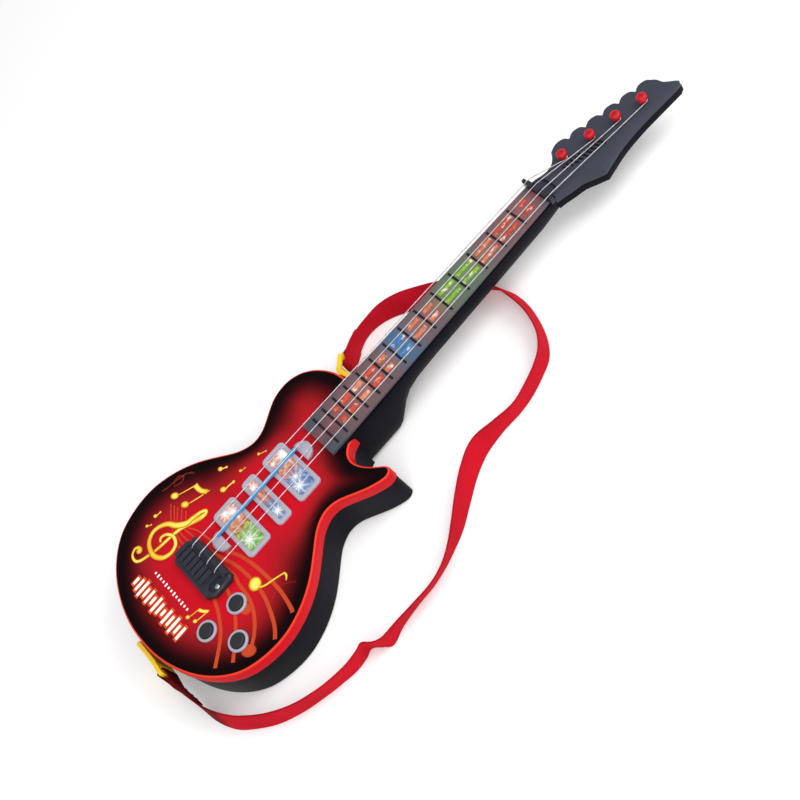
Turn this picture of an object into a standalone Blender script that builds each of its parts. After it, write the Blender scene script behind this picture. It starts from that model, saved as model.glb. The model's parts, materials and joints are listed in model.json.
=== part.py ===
"""Toy electric guitar with light-up windows, push buttons, string posts and a carrying strap.

The guitar lies on its back: +Z points out of its face, +Y to the headstock, +X to the cutaway side.
The design is written in millimetres: x from the centreline, y from the line where the strings meet
the bridge, z from the surface that the guitar lies on. place() turns such a point into metres in
the part's frame, whose origin is under the middle of the guitar.
"""

import math

import bmesh
import bpy
from mathutils import Matrix, Vector

MM = 0.001
GAP = 0.3  # clearance between neighbouring pieces
BRIDGE_Y = -193.5  # the bridge line in the part's frame

# Heights
FACE = 38.0  # the printed face
SEAM = 28.0  # where the red front shell meets the black back shell
NECK_BOTTOM = 21.0
HEAD_BOTTOM, HEAD_SEAM, HEAD_FACE = 26.0, 33.0, 40.0
FRETBOARD_TOP = 41.0
STRING_AT_BRIDGE, STRING_AT_NUT, STRING_AT_POST = 47.7, 44.6, 41.5

# Plan sizes
WALL = 2.2
BACK_INSET = 0.8  # the back shell stands this far inside the front shell
NECK_END, HEAD_START = 118.0, 347.8
HEEL_HALF = 20.5  # half width of the notch that holds the neck
NUT = 344.0
BOARD_START, BOARD_HALF_START, BOARD_HALF_NUT = 112.6, 18.3, 12.2
FRET_COUNT, FIRST_FRET_SPACE, FRET_STEP = 14, 22.2, 0.97
STRING_RADIUS = 0.45
STRING_PITCH_BRIDGE, STRING_PITCH_NUT = 9.9, 7.9

# Left half of the body, from the neck round to the tail. The right half mirrors its lower part.
LEFT_SIDE = [
    (-20.5, 158.0), (-33.0, 156.5), (-46.0, 150.5), (-56.0, 141.0), (-61.0, 128.0), (-59.5, 113.5),
    (-53.0, 101.0), (-47.3, 90.5), (-46.0, 80.0), (-51.0, 68.5), (-61.0, 57.0), (-73.0, 43.0),
    (-83.0, 26.0), (-89.0, 6.0), (-88.5, -14.0), (-82.5, -33.0), (-71.0, -47.5), (-56.0, -58.5),
    (-38.0, -66.5), (-19.0, -71.2),
]
TAIL = (0.0, -72.5)
LOWER_COUNT = 13  # how many of those points, from the tail up, the right side shares
HORN = [
    (53.0, 100.5), (59.3, 111.0), (63.6, 121.0), (64.4, 127.0), (61.8, 131.6), (56.6, 131.2),
    (50.0, 125.8), (42.0, 120.6), (34.0, 118.3), (27.0, 120.0), (22.5, 125.0), (20.5, 131.0),
]

# Headstock outline, in three smooth runs that meet at corners
HEAD_RIGHT = [(13.4, 347.8), (14.5, 353.0), (17.2, 361.0), (19.5, 369.0), (24.0, 376.0), (29.0, 384.0)]
HEAD_EDGE = [(29.0, 384.0), (27.0, 393.0), (25.0, 404.0), (24.0, 418.0), (24.3, 433.0), (26.2, 463.0)]
HEAD_TIP = [(24.6, 467.0), (16.0, 461.2), (9.5, 460.0)]
HEAD_NECK_SIDE = [(-18.8, 375.5), (-13.8, 371.3), (-10.2, 366.0), (-9.8, 360.0)]
HEAD_NECK_SIDE += [(-12.2, 353.0), (-13.4, 347.8)]
SCALLOPS, SCALLOP_START, SCALLOP_END, SCALLOP_DEPTH = 6, (6.0, 458.0), (-18.8, 377.5), 3.4

# Face fittings
WINDOWS = {"upper": (73.5, 95.0), "middle": (51.8, 65.2), "lower": (22.2, 43.6)}
WINDOW_HALF, BEZEL_BORDER = 25.3, 3.3
ROD_X, ROD_START, ROD_END = -8.6, 16.5, 98.5
ROD_BLOCKS = {"upper": (98.0, 107.5), "lower": (18.6, 9.2)}
BUTTONS = [(41.1, -5.4), (37.9, -32.9), (63.2, -21.4)]
RING_RADIUS, CAP_RADIUS = 7.9, 5.6
POSTS = [(-4.0, 376.0), (2.8, 398.5), (8.9, 419.5), (15.8, 440.0)]
POST_RADIUS, STEM_RADIUS = 3.9, 2.1

# Inside and back
CASE_SCREWS = [(-72.0, -5.0), (76.0, 16.0), (0.0, -63.0), (-42.0, 126.0), (47.0, 108.0)]
NECK_SCREWS = [(0.0, 100.0), (0.0, 111.0)]
SPEAKER = (0.0, 45.0)
CELL_PITCH, CELL_RADIUS, CELL_Z = 15.6, 7.1, 10.7
CELL_START, CELL_END = -45.0, 4.5
COVER_START, COVER_END, COVER_HALF = -49.6, 16.0, 25.0
COVER_SCREW = (0.0, 12.5)
BRIDGE_SCREW = (21.0, -7.0)
SWITCH = (-52.0, -12.0)
SWITCH_TRAVEL = 4.0

# Strap: 18 mm webbing that stands on its edge on the surface. Each point of its route has the
# height of its middle (None where the lower edge rests on the surface) and the lean of its width.
STRAP_WIDTH, STRAP_THICK, STRAP_MIDDLE = 18.0, 1.4, 18.5
STRAP_ROUTE = [
    (28.0, -78.0, 18.5, 90), (34.0, -77.5, 18.0, 88), (50.0, -76.0, 14.0, 86), (66.0, -73.5, 10.6, 78),
    (81.0, -67.0, None, 73), (92.5, -58.0, None, 77), (105.0, -44.0, None, 83),
    (114.5, -27.0, None, 92), (120.5, -9.0, None, 97), (123.5, 5.0, None, 97),
    (125.0, 18.0, None, 95), (124.0, 28.0, None, 95), (122.5, 34.5, None, 97),
    (128.5, 40.5, None, 98), (132.5, 47.0, None, 92), (130.5, 60.0, None, 104),
    (129.5, 76.0, None, 112), (129.0, 93.0, None, 114), (126.0, 107.0, None, 111),
    (120.5, 120.0, None, 102), (112.5, 134.0, None, 88), (102.0, 149.0, None, 79),
    (91.0, 166.0, None, 73), (84.0, 183.0, None, 70), (84.5, 202.0, None, 90),
    (86.0, 219.0, None, 97), (83.5, 234.0, None, 93), (78.5, 249.0, None, 91),
    (72.0, 261.0, None, 86), (60.0, 270.5, None, 84), (42.0, 277.5, None, 78),
    (23.0, 280.5, None, 70), (5.0, 279.0, None, 72), (-13.0, 270.5, None, 85),
    (-30.0, 256.5, None, 104), (-44.0, 241.0, None, 120), (-54.0, 228.5, None, 116),
    (-60.5, 215.5, None, 100), (-62.8, 203.0, None, 86), (-61.0, 192.0, 10.8, 84),
    (-56.0, 183.0, 13.0, 87), (-49.0, 175.0, 16.5, 90), (-44.6, 171.2, 18.5, 92),
]

# Looks: base colour, roughness, metallic, alpha
LOOKS = {
    "red_plastic": ((0.62, 0.02, 0.03), 0.25, 0.0, 1.0),
    "black_plastic": ((0.018, 0.022, 0.032), 0.45, 0.0, 1.0),
    "smoky_plastic": ((0.12, 0.12, 0.14), 0.2, 0.0, 0.55),
    "grey_plastic": ((0.42, 0.40, 0.48), 0.35, 0.0, 1.0),
    "clear_plastic": ((0.85, 0.88, 0.95), 0.1, 0.0, 0.35),
    "blue_plastic": ((0.03, 0.35, 0.62), 0.2, 0.0, 0.8),
    "post_plastic": ((0.72, 0.02, 0.02), 0.2, 0.0, 1.0),
    "tab_plastic": ((0.85, 0.60, 0.04), 0.35, 0.0, 1.0),
    "string_steel": ((0.75, 0.75, 0.78), 0.25, 1.0, 1.0),
    "zinc_steel": ((0.60, 0.60, 0.62), 0.35, 1.0, 1.0),
    "speaker_metal": ((0.30, 0.30, 0.32), 0.45, 1.0, 1.0),
    "circuit_board": ((0.02, 0.20, 0.08), 0.5, 0.0, 1.0),
    "rubber_mat": ((0.15, 0.15, 0.16), 0.8, 0.0, 1.0),
    "cell_wrap": ((0.10, 0.12, 0.30), 0.4, 0.3, 1.0),
    "webbing": ((0.62, 0.01, 0.03), 0.85, 0.0, 1.0),
    "wire": ((0.60, 0.05, 0.05), 0.5, 0.0, 1.0),
}


def place(x, y, z=0.0):
    """A design point, in metres in the part's frame."""
    return Vector((x, y + BRIDGE_Y, z)) * MM


def look(name):
    """The material of that name, made the first time it is asked for."""
    if name in bpy.data.materials:
        return bpy.data.materials[name]
    colour, roughness, metallic, alpha = LOOKS[name]
    material = bpy.data.materials.new(name)
    material.use_nodes = True
    shader = material.node_tree.nodes["Principled BSDF"]
    shader.inputs["Base Color"].default_value = (*colour, 1.0)
    shader.inputs["Roughness"].default_value = roughness
    shader.inputs["Metallic"].default_value = metallic
    shader.inputs["Alpha"].default_value = alpha
    return material


# Solids


def add_body(name, points, faces, material, origin=(0.0, 0.0, 0.0), smooth_angle=30.0):
    """A named object from points in metres, its faces turned outwards and its origin at `origin`."""
    origin = Vector(origin)
    mesh = bpy.data.meshes.new(name)
    mesh.from_pydata([point - origin for point in points], [], faces)
    work = bmesh.new()
    work.from_mesh(mesh)
    bmesh.ops.recalc_face_normals(work, faces=work.faces)
    work.to_mesh(mesh)
    work.free()
    mesh.shade_smooth()
    mesh.set_sharp_from_angle(angle=math.radians(smooth_angle))
    mesh.materials.append(look(material))
    body = bpy.data.objects.new(name, mesh)
    body.location = origin
    bpy.context.collection.objects.link(body)
    return body


def loft(name, rings, material, closed=False, origin=None):
    """One body through rings of design points: flat ends, or the last ring joined to the first."""
    count = len(rings[0])
    points = [place(*point) for ring in rings for point in ring]
    faces = []
    for first in range(len(rings) if closed else len(rings) - 1):
        second = (first + 1) % len(rings)
        for i in range(count):
            j = (i + 1) % count
            faces.append((first * count + i, first * count + j, second * count + j, second * count + i))
    if not closed:
        faces.append(tuple(range(count)))
        faces.append(tuple(range(len(points) - count, len(points))))
    return add_body(name, points, faces, material, place(*origin) if origin else (0.0, 0.0, 0.0))


def inset(outline, distance):
    """A counter-clockwise outline moved inwards by a distance, its corners mitred."""
    moved = []
    for i, point in enumerate(outline):
        before = (Vector(point) - Vector(outline[i - 1])).normalized()
        after = (Vector(outline[(i + 1) % len(outline)]) - Vector(point)).normalized()
        inward = Vector((-before.y - after.y, before.x + after.x)).normalized()
        stretch = max(0.5, inward.dot(Vector((-before.y, before.x))))
        moved.append(tuple(Vector(point) + inward * (distance / stretch)))
    return moved


def stack(name, outline, levels, material):
    """An outline raised through levels, each a height and how far the outline is inset there."""
    rings = [[(x, y, z) for x, y in inset(outline, step)] for z, step in levels]
    return loft(name, rings, material)


def block(name, low, high, material):
    """A box between two corners."""
    outline = [(low[0], low[1]), (high[0], low[1]), (high[0], high[1]), (low[0], high[1])]
    return stack(name, outline, [(low[2], 0.0), (high[2], 0.0)], material)


def blocks(name, boxes, material):
    """Many separate boxes in one object, for one union or cut."""
    points, faces = [], []
    for low, high in boxes:
        start = len(points)
        points += [place(x, y, z) for z in (low[2], high[2])
                   for x, y in ((low[0], low[1]), (high[0], low[1]), (high[0], high[1]), (low[0], high[1]))]
        quads = [(0, 3, 2, 1), (4, 5, 6, 7), (0, 1, 5, 4), (1, 2, 6, 5), (2, 3, 7, 6), (3, 0, 4, 7)]
        faces += [tuple(start + i for i in quad) for quad in quads]
    return add_body(name, points, faces, material)


def turned(name, profile, centre, material, sides=18, axis=(0, 0, 1), closed=False, origin=None):
    """A round body from a profile of radius and height along an axis through `centre`."""
    turn = Vector((0, 0, 1)).rotation_difference(Vector(axis))
    rings = []
    for radius, height in profile:
        ring = []
        for i in range(sides):
            angle = math.tau * i / sides
            spot = turn @ Vector((radius * math.cos(angle), radius * math.sin(angle), height))
            ring.append(tuple(Vector(centre) + spot))
        rings.append(ring)
    return loft(name, rings, material, closed, origin)


def drum(name, centre, radius, low, high, material, sides=16):
    """A plain upright cylinder between two heights."""
    return turned(name, [(radius, low), (radius, high)], (centre[0], centre[1], 0.0), material, sides)


def combine(target, tools, operation):
    """Applies Boolean modifiers to a body and removes the bodies it was combined with."""
    for tool in tools:
        modifier = target.modifiers.new(operation.title(), "BOOLEAN")
        modifier.operation = operation
        modifier.solver = "EXACT"
        modifier.object = tool
    graph = bpy.context.evaluated_depsgraph_get()
    mesh = bpy.data.meshes.new_from_object(target.evaluated_get(graph))
    mesh.name = target.name
    target.modifiers.clear()
    target.data = mesh
    for tool in tools:
        bpy.data.objects.remove(tool)
    return target


def cut(target, *tools):
    return combine(target, tools, "DIFFERENCE")


def weld(target, *tools):
    return combine(target, tools, "UNION")


def soften(body, width, segments=2):
    """Rounds a body's edges."""
    modifier = body.modifiers.new("Bevel", "BEVEL")
    modifier.width = width * MM
    modifier.segments = segments
    modifier.limit_method = "ANGLE"
    modifier.angle_limit = math.radians(40)
    return body


# Outlines


def smooth_run(points, steps):
    """A Catmull-Rom curve through points, with both its ends."""
    padded = [points[0], *points, points[-1]]
    curve = []
    for a, b, c, d in zip(padded, padded[1:], padded[2:], padded[3:]):
        for step in range(steps):
            t = step / steps
            curve.append(tuple(
                0.5 * (2 * q + (r - p) * t + (2 * p - 5 * q + 4 * r - s) * t**2
                       + (3 * q - p - 3 * r + s) * t**3)
                for p, q, r, s in zip(a, b, c, d)
            ))
    return [*curve, points[-1]]


def rounded(low, high, radius, steps=3):
    """A rectangle with round corners, counter-clockwise."""
    (x0, y0), (x1, y1) = low, high
    corners = [(x1 - radius, y0 + radius, -90), (x1 - radius, y1 - radius, 0),
               (x0 + radius, y1 - radius, 90), (x0 + radius, y0 + radius, 180)]
    outline = []
    for x, y, start in corners:
        for step in range(steps + 1):
            angle = math.radians(start + 90 * step / steps)
            outline.append((x + radius * math.cos(angle), y + radius * math.sin(angle)))
    return outline


def body_outline():
    """The body seen from the front, counter-clockwise, closed straight across under the neck."""
    right = [(-x, y) for x, y in reversed(LEFT_SIDE[-LOWER_COUNT:])]
    return smooth_run([*LEFT_SIDE, TAIL, *right, *HORN], 2)


def head_outline():
    """The headstock seen from the front, counter-clockwise, with its row of scallops."""
    start, end = Vector(SCALLOP_START), Vector(SCALLOP_END)
    along = (end - start) / SCALLOPS
    out = Vector((along.y, -along.x)).normalized()
    lobes = []
    for lobe in range(SCALLOPS):
        for u, height in ((0.0, 0.0), (0.18, 0.72), (0.5, 1.0), (0.82, 0.72)):
            lobes.append(tuple(start + along * (lobe + u) + out * SCALLOP_DEPTH * height))
    right = [HEAD_RIGHT[0], *smooth_run(HEAD_RIGHT[1:], 2)]
    edge = smooth_run(HEAD_EDGE, 2)
    side = [*smooth_run(HEAD_NECK_SIDE[:-1], 2), HEAD_NECK_SIDE[-1]]
    return [*right, *edge[1:], *HEAD_TIP, *lobes, *side]


def board_half(y):
    """Half the fretboard's width at a distance from the bridge line."""
    share = (y - BOARD_START) / (NUT - BOARD_START)
    return BOARD_HALF_START + (BOARD_HALF_NUT - BOARD_HALF_START) * share


def fret_lines():
    """Where the frets lie: each space is a little shorter than the one before it."""
    lines, y = [], NUT
    for fret in range(FRET_COUNT):
        y -= FIRST_FRET_SPACE - FRET_STEP * fret
        lines.append(y)
    return lines


# Shells


def make_front_shell(outline):
    """Red front moulding: face, rim, holes for everything on the face, and screw bosses."""
    shell = stack("front_shell", outline, [(SEAM, 0), (35.8, 0), (37.3, 0.7), (FACE, 2.4)], "red_plastic")
    hollow = stack("hollow", outline, [(SEAM - 5, WALL), (FACE - WALL, WALL)], "red_plastic")
    cut(hollow, neck_wall_box())
    cut(shell, hollow)
    weld(shell, *[drum("boss", spot, 3.6, SEAM + GAP, FACE - 1, "red_plastic", 12) for spot in CASE_SCREWS])
    holes = [drum("hole", spot, 1.7, SEAM - 2, 35.5, "red_plastic", 12) for spot in CASE_SCREWS]
    holes += [drum("hole", spot, 6.9, 30, 40, "red_plastic") for spot in BUTTONS]
    inner = WINDOW_HALF - BEZEL_BORDER
    for low, high in WINDOWS.values():
        window = rounded((-inner, low + BEZEL_BORDER), (inner, high - BEZEL_BORDER), 2.5)
        holes.append(stack("hole", window, [(30, 0), (40, 0)], "red_plastic"))
    holes.append(drum("hole", BRIDGE_SCREW, 1.8, 30, 40, "red_plastic", 12))
    holes.append(block("wire_way", (2, NECK_END - 5, SEAM - 2), (10, NECK_END + 2, 32.5), "red_plastic"))
    return cut(shell, *holes, neck_notch())


def neck_wall_box():
    """Keeps a wall round the notch that holds the neck."""
    low, high = (-HEEL_HALF - WALL, NECK_END - WALL, -5), (HEEL_HALF + WALL, 170, 50)
    return block("wall", low, high, "red_plastic")


def neck_notch():
    """Cuts the notch itself, right through the body."""
    return block("notch", (-HEEL_HALF, NECK_END, -5), (HEEL_HALF, 170, 50), "red_plastic")


def make_back_shell(outline):
    """Black back moulding: tub, battery opening, speaker grille, switch slot and screw bosses."""
    top = SEAM - GAP
    levels = [(0, BACK_INSET + 1.9), (0.6, BACK_INSET + 0.8), (1.8, BACK_INSET), (top, BACK_INSET)]
    shell = stack("back_shell", outline, levels, "black_plastic")
    inside = BACK_INSET + WALL
    hollow = stack("hollow", outline, [(WALL, inside), (top + 5, inside)], "black_plastic")
    cut(hollow, neck_wall_box())
    cut(shell, hollow)
    bosses = [drum("boss", spot, 5.0, 1, top - GAP, "black_plastic", 12) for spot in CASE_SCREWS]
    bosses += [drum("boss", spot, 4.6, 1, 7.4, "black_plastic", 12) for spot in NECK_SCREWS]
    weld(shell, *bosses)
    holes = [drum("hole", spot, 3.5, -2, 12, "black_plastic", 12) for spot in CASE_SCREWS]
    holes += [drum("hole", spot, 1.8, 10, 30, "black_plastic", 12) for spot in CASE_SCREWS]
    holes += [drum("hole", spot, 3.1, -2, 3, "black_plastic", 12) for spot in NECK_SCREWS]
    holes += [drum("hole", spot, 1.8, 2, 9, "black_plastic", 12) for spot in NECK_SCREWS]
    low = (-COVER_HALF - 0.4, COVER_START - 0.4, -2)
    high = (COVER_HALF + 0.4, COVER_END + 0.4, 2.4)
    holes.append(block("hole", low, high, "black_plastic"))
    x, centre = SPEAKER
    for slot in range(-3, 4):
        reach = math.sqrt(19.0**2 - (slot * 5.0) ** 2)
        y = centre + slot * 5.0
        holes.append(block("hole", (x - reach, y - 1.2, -2), (x + reach, y + 1.2, 2.3), "black_plastic"))
    x, y = SWITCH
    low, high = (x - 2.9, y - 2.9, -2), (x + 2.9, y + 2.9 + SWITCH_TRAVEL, 2.4)
    holes.append(block("hole", low, high, "black_plastic"))
    holes.append(block("hole", (-12.4, NECK_END - 5, 7.7), (12.4, NECK_END + 5, 25.4), "black_plastic"))
    for tab in (TAIL_TAB, SHOULDER_TAB):
        peg = tab_point(tab, tab["peg"], 0, STRAP_MIDDLE)
        holes.append(turned("hole", [(1.8, -8), (1.8, 4)], peg, "black_plastic", 12, tab_out(tab)))
    return cut(shell, *holes, neck_notch())


def neck_ring(y, half, bottom, flat):
    """One cross-section of the neck: a trough with upright sides and a rounded underside."""
    side = FACE - 0.36 * (FACE - bottom)
    outer = [(-half, FACE), (-half, side)]
    for step in (30, 60, 90):
        angle = math.radians(step)
        outer.append((-flat - (half - flat) * math.cos(angle), side - (side - bottom) * math.sin(angle)))
    inner_half, inner_flat = half - 2.6, flat - 1.5
    right = [(-x, z) for x, z in reversed(outer)]
    channel = [(inner_half, FACE), (inner_half, side), (inner_flat, bottom + 2.6)]
    channel += [(-x, z) for x, z in reversed(channel)]
    return [(x, y, z) for x, z in [*outer, *right, *channel]]


def make_neck_shell(head):
    """Black neck moulding: heel, trough-shaped neck and the tray under the headstock."""
    half_end, taper = 19.0, 0.0311
    stations = [(NECK_END + 0.4, 20.2, 2.5, 17.5), (158, 20.0, 2.5, 17.5), (163, 19.6, 3.8, 16.8),
                (169, 19.0, 8.5, 15.5), (175, 18.7, 14.0, 13.5), (182, 18.5, 18.3, 11.8),
                (192, 18.2, 20.4, 10.5), (212, 17.5, NECK_BOTTOM, 9.6), (280, 15.4, NECK_BOTTOM, 8.4),
                (330, half_end - taper * 165, 21.6, 7.6), (HEAD_START - 0.4, 13.4, 24.0, 7.6)]
    neck = loft("neck_shell", [neck_ring(*station) for station in stations], "black_plastic")
    levels = [(HEAD_BOTTOM, 1.2), (HEAD_BOTTOM + 1.2, 0), (HEAD_SEAM, 0)]
    tray = stack("tray", head, levels, "black_plastic")
    cut(tray, stack("hollow", head, [(HEAD_BOTTOM + 2.4, 2.2), (HEAD_SEAM + 5, 2.2)], "black_plastic"))
    root = block("root", (-10, 341, 24.8), (10, 353, HEAD_SEAM - 0.2), "black_plastic")
    tongue = block("tongue", (-12, 93, 8), (12, 124, 25), "black_plastic")
    bulkhead = block("bulkhead", (-18.6, NECK_END + 0.7, 4), (18.6, 124, 27), "black_plastic")
    weld(neck, tray, root, tongue, bulkhead)
    pilots = [drum("hole", spot, 1.8, 5, 20, "black_plastic", 12) for spot in NECK_SCREWS]
    return cut(neck, *pilots)


def make_headstock_cover(head):
    """Front half of the headstock, with a scooped recess behind the nut and holes for the posts."""
    levels = [(HEAD_SEAM + GAP, 0.2), (HEAD_FACE - 2.4, 0.2), (HEAD_FACE - 1.6, 0.9)]
    levels += [(HEAD_FACE - 0.9, 1.2), (HEAD_FACE, 2.0)]
    cover = stack("headstock_cover", head, levels, "black_plastic")
    hollow = stack("hollow", head, [(HEAD_SEAM - 2, 2.4), (HEAD_FACE - 4.6, 2.4)], "black_plastic")
    scoop = stack("scoop", rounded((-9.8, 343), (9.8, 356.5), 4.0), [(36.8, 2.0), (41, 0)], "black_plastic")
    holes = [drum("hole", spot, 2.5, 30, 45, "black_plastic") for spot in POSTS]
    return cut(cover, hollow, scoop, *holes)


# Neck fittings


def make_fretboard():
    """Smoky window along the neck, with a raised bar at each fret."""
    ends = [(-BOARD_HALF_START, BOARD_START), (BOARD_HALF_START, BOARD_START)]
    ends += [(BOARD_HALF_NUT, NUT - 0.4), (-BOARD_HALF_NUT, NUT - 0.4)]
    levels = [(FACE + GAP, 0), (FRETBOARD_TOP - 0.5, 0), (FRETBOARD_TOP, 0.4)]
    cover = stack("fretboard_cover", ends, levels, "smoky_plastic")
    bars = []
    for y in fret_lines():
        half = board_half(y) - 2.4
        bars.append(((-half, y - 0.9, FRETBOARD_TOP - 0.8), (half, y + 0.9, FRETBOARD_TOP + 0.7)))
    return weld(cover, blocks("bars", bars, "smoky_plastic"))


def make_neck_light_board():
    """Narrow circuit board in the neck's trough, with two rows of lamps."""
    top = 35.0
    lines = [NUT, *fret_lines()]
    ends = [(-11.0, 128.0), (11.0, 128.0), (7.0, 340.0), (-7.0, 340.0)]
    board = stack("neck_light_board", ends, [(top - 1.4, 0), (top, 0)], "circuit_board")
    lamps = []
    for high, low in zip(lines, lines[1:-1]):
        y = (high + low) / 2
        for side in (-1, 1):
            x = side * STRING_PITCH_NUT / 2 * (1 + 0.2 * (NUT - y) / NUT)
            lamps.append(((x - 1.6, y - 1.4, top - 0.3), (x + 1.6, y + 1.4, top + 1.1)))
    return weld(board, blocks("lamps", lamps, "circuit_board"))


def make_nut():
    """Black bar at the end of the fretboard, with three raised blocks between the strings."""
    y0, y1 = NUT, HEAD_START - 0.6
    nut = block("nut", (-15, y0, FACE + GAP), (15, y1, 43.8), "black_plastic")
    gaps = (-STRING_PITCH_NUT, 0, STRING_PITCH_NUT)
    boxes = [((x - 2.7, y0 - 0.3, 42), (x + 2.7, y1 + 0.2, 45.9)) for x in gaps]
    boxes += [((x - 1.0, y0 + 0.2, 42), (x + 1.0, y1 - 0.2, 45.0)) for x in (-14.6, 14.6)]
    return soften(weld(nut, blocks("teeth", boxes, "black_plastic")), 0.4, 1)


def make_bridge():
    """Black bridge block: front bar, seven ribs, and a pocket with its screw."""
    outline = [(-26, -14), (-20.5, -18.2), (21, -18.2), (26.3, -12)]
    outline += [(26.3, 3), (23, 6.2), (-17, 6.2), (-26, -1)]
    low = FACE + GAP
    bridge = stack("bridge", outline, [(low, 0), (42.0, 0), (43.4, 1.3)], "black_plastic")
    boxes = [((-20, 2.0, 41), (23, 5.6, 46.6)), ((-23.4, -14.0, 41), (14, -4.4, 44.4))]
    for rib in range(7):
        x = -23.4 + 5.35 * rib
        boxes.append(((x + 0.4, -13.6, 42), (x + 4.4, -2.2, 46.4)))
    weld(bridge, *[blocks("part", [box], "black_plastic") for box in boxes])
    dip = rounded((15.8, -12.6), (24.6, 0.2), 3.0)
    pocket = stack("pocket", dip, [(40.4, 0.8), (44, 0)], "black_plastic")
    hole = drum("hole", BRIDGE_SCREW, 1.8, 30, 45, "black_plastic", 12)
    return cut(bridge, pocket, hole)


def make_strings():
    """Four steel strings from the bridge over the nut, each wound part of a turn round its post."""
    for number, (post_x, post_y) in enumerate(POSTS, 1):
        lane = number - 2.5
        bridge_x, nut_x = lane * STRING_PITCH_BRIDGE, lane * STRING_PITCH_NUT
        wind = STEM_RADIUS + GAP + STRING_RADIUS
        nut_point = Vector((nut_x, HEAD_START + 1.0))
        centre = Vector((post_x, post_y))
        reach = centre - nut_point
        swing = math.acos(wind / reach.length)
        start = math.atan2(-reach.y, -reach.x) + swing
        points = [(bridge_x, -1.4, 46.0), (bridge_x, 1.2, 47.5), (bridge_x, 3.8, STRING_AT_BRIDGE),
                  (nut_x, NUT + 0.6, STRING_AT_NUT), (nut_x, HEAD_START + 1.0, STRING_AT_NUT - 0.1)]
        for step in range(10):
            angle = start + math.radians(27.0 * step)
            x, y = post_x + wind * math.cos(angle), post_y + wind * math.sin(angle)
            points.append((x, y, STRING_AT_POST + 0.05 * step))
        add_wire(f"string_{number}", points, STRING_RADIUS, "string_steel")


def add_wire(name, points, radius, material, resolution=1):
    """A round wire along design points, with filled ends."""
    curve = bpy.data.curves.new(name, "CURVE")
    curve.dimensions = "3D"
    curve.bevel_depth = radius * MM
    curve.bevel_resolution = resolution
    curve.use_fill_caps = True
    spline = curve.splines.new("POLY")
    spline.points.add(len(points) - 1)
    for point, spot in zip(spline.points, points):
        point.co = (*place(*spot), 1.0)
    curve.materials.append(look(material))
    wire = bpy.data.objects.new(name, curve)
    bpy.context.collection.objects.link(wire)
    return wire


def make_posts():
    """Four red string posts that turn in the headstock."""
    for number, (x, y) in enumerate(POSTS, 1):
        profile = [(3.6, 29.2), (3.6, 30.6), (STEM_RADIUS, 30.8), (STEM_RADIUS, 43.0), (3.5, 43.2),
                   (POST_RADIUS, 43.9), (POST_RADIUS, 46.2), (3.3, 47.2), (1.6, 47.7)]
        post = turned(f"string_post_{number}", profile, (x, y, 0), "post_plastic", 14, origin=(x, y, 40.0))
        for half_x, half_y in ((2.6, 0.4), (0.4, 2.6)):
            slot = block("slot", (x - half_x, y - half_y, 47), (x + half_x, y + half_y, 49), "post_plastic")
            cut(post, slot)


# Face fittings


def make_windows():
    """Grey bezels and clear lenses over the three light windows, with the blue rod across them."""
    for name, (low, high) in WINDOWS.items():
        outer = rounded((-WINDOW_HALF, low), (WINDOW_HALF, high), 3.6)
        half = WINDOW_HALF - BEZEL_BORDER
        inner = rounded((-half, low + BEZEL_BORDER), (half, high - BEZEL_BORDER), 2.6)
        levels = [(FACE + GAP, outer), (39.6, outer), (40.2, inset(outer, 0.7)), (40.2, inset(outer, 2.7))]
        levels += [(39.8, inner), (FACE + GAP, inner)]
        rings = [[(x, y, z) for x, y in ring] for z, ring in levels]
        loft(f"window_bezel_{name}", rings, "grey_plastic", closed=True)
        pane = inset(inner, GAP)
        stack(f"window_lens_{name}", pane, [(34.8, 0), (38.9, 0), (39.4, 0.6)], "clear_plastic")
    profile = [(1.0, ROD_START), (1.35, ROD_START + 0.5), (1.35, ROD_END - 0.5), (1.0, ROD_END)]
    turned("light_rod", profile, (ROD_X, 0, 42.0), "blue_plastic", 12, (0, 1, 0))
    for name, (flat, tip) in ROD_BLOCKS.items():
        side = 1 if tip > flat else -1
        ends = [(-12.6, flat), (-12.6, flat + side * 3.4), (-10.4, flat + side * 7.2), (-6.5, tip)]
        ends += [(-1.5, tip), (2.6, flat + side * 7.2), (4.6, flat + side * 3.4), (4.6, flat)]
        outline = ends if side < 0 else list(reversed(ends))
        end = stack(f"rod_block_{name}", outline, [(FACE + GAP, 0), (40.4, 0), (41.4, 1.4)], "grey_plastic")
        groove = [(1.65, -20), (1.65, 130)]
        cradle = turned("cradle", groove, (ROD_X, 0, 42.0), "grey_plastic", 12, (0, 1, 0))
        cut(end, cradle)


def make_buttons():
    """Three push buttons: a fixed ring and a domed cap that slides in it."""
    for number, (x, y) in enumerate(BUTTONS, 1):
        inner = CAP_RADIUS + GAP
        ring = [(RING_RADIUS, FACE + GAP), (RING_RADIUS, 39.0), (7.4, 39.5), (6.5, 39.6)]
        ring += [(inner, 39.2), (inner, 35.2), (6.5, 35.2), (6.5, FACE + GAP)]
        turned(f"button_ring_{number}", ring, (x, y, 0), "grey_plastic", closed=True)
        cap = [(3.2, 33.0), (7.0, 33.4), (7.0, 34.8), (CAP_RADIUS, 34.9)]
        cap += [(CAP_RADIUS, 40.0), (5.0, 40.7), (3.4, 41.1), (1.4, 41.3)]
        turned(f"button_cap_{number}", cap, (x, y, 0), "black_plastic", origin=(x, y, FACE))


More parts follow.
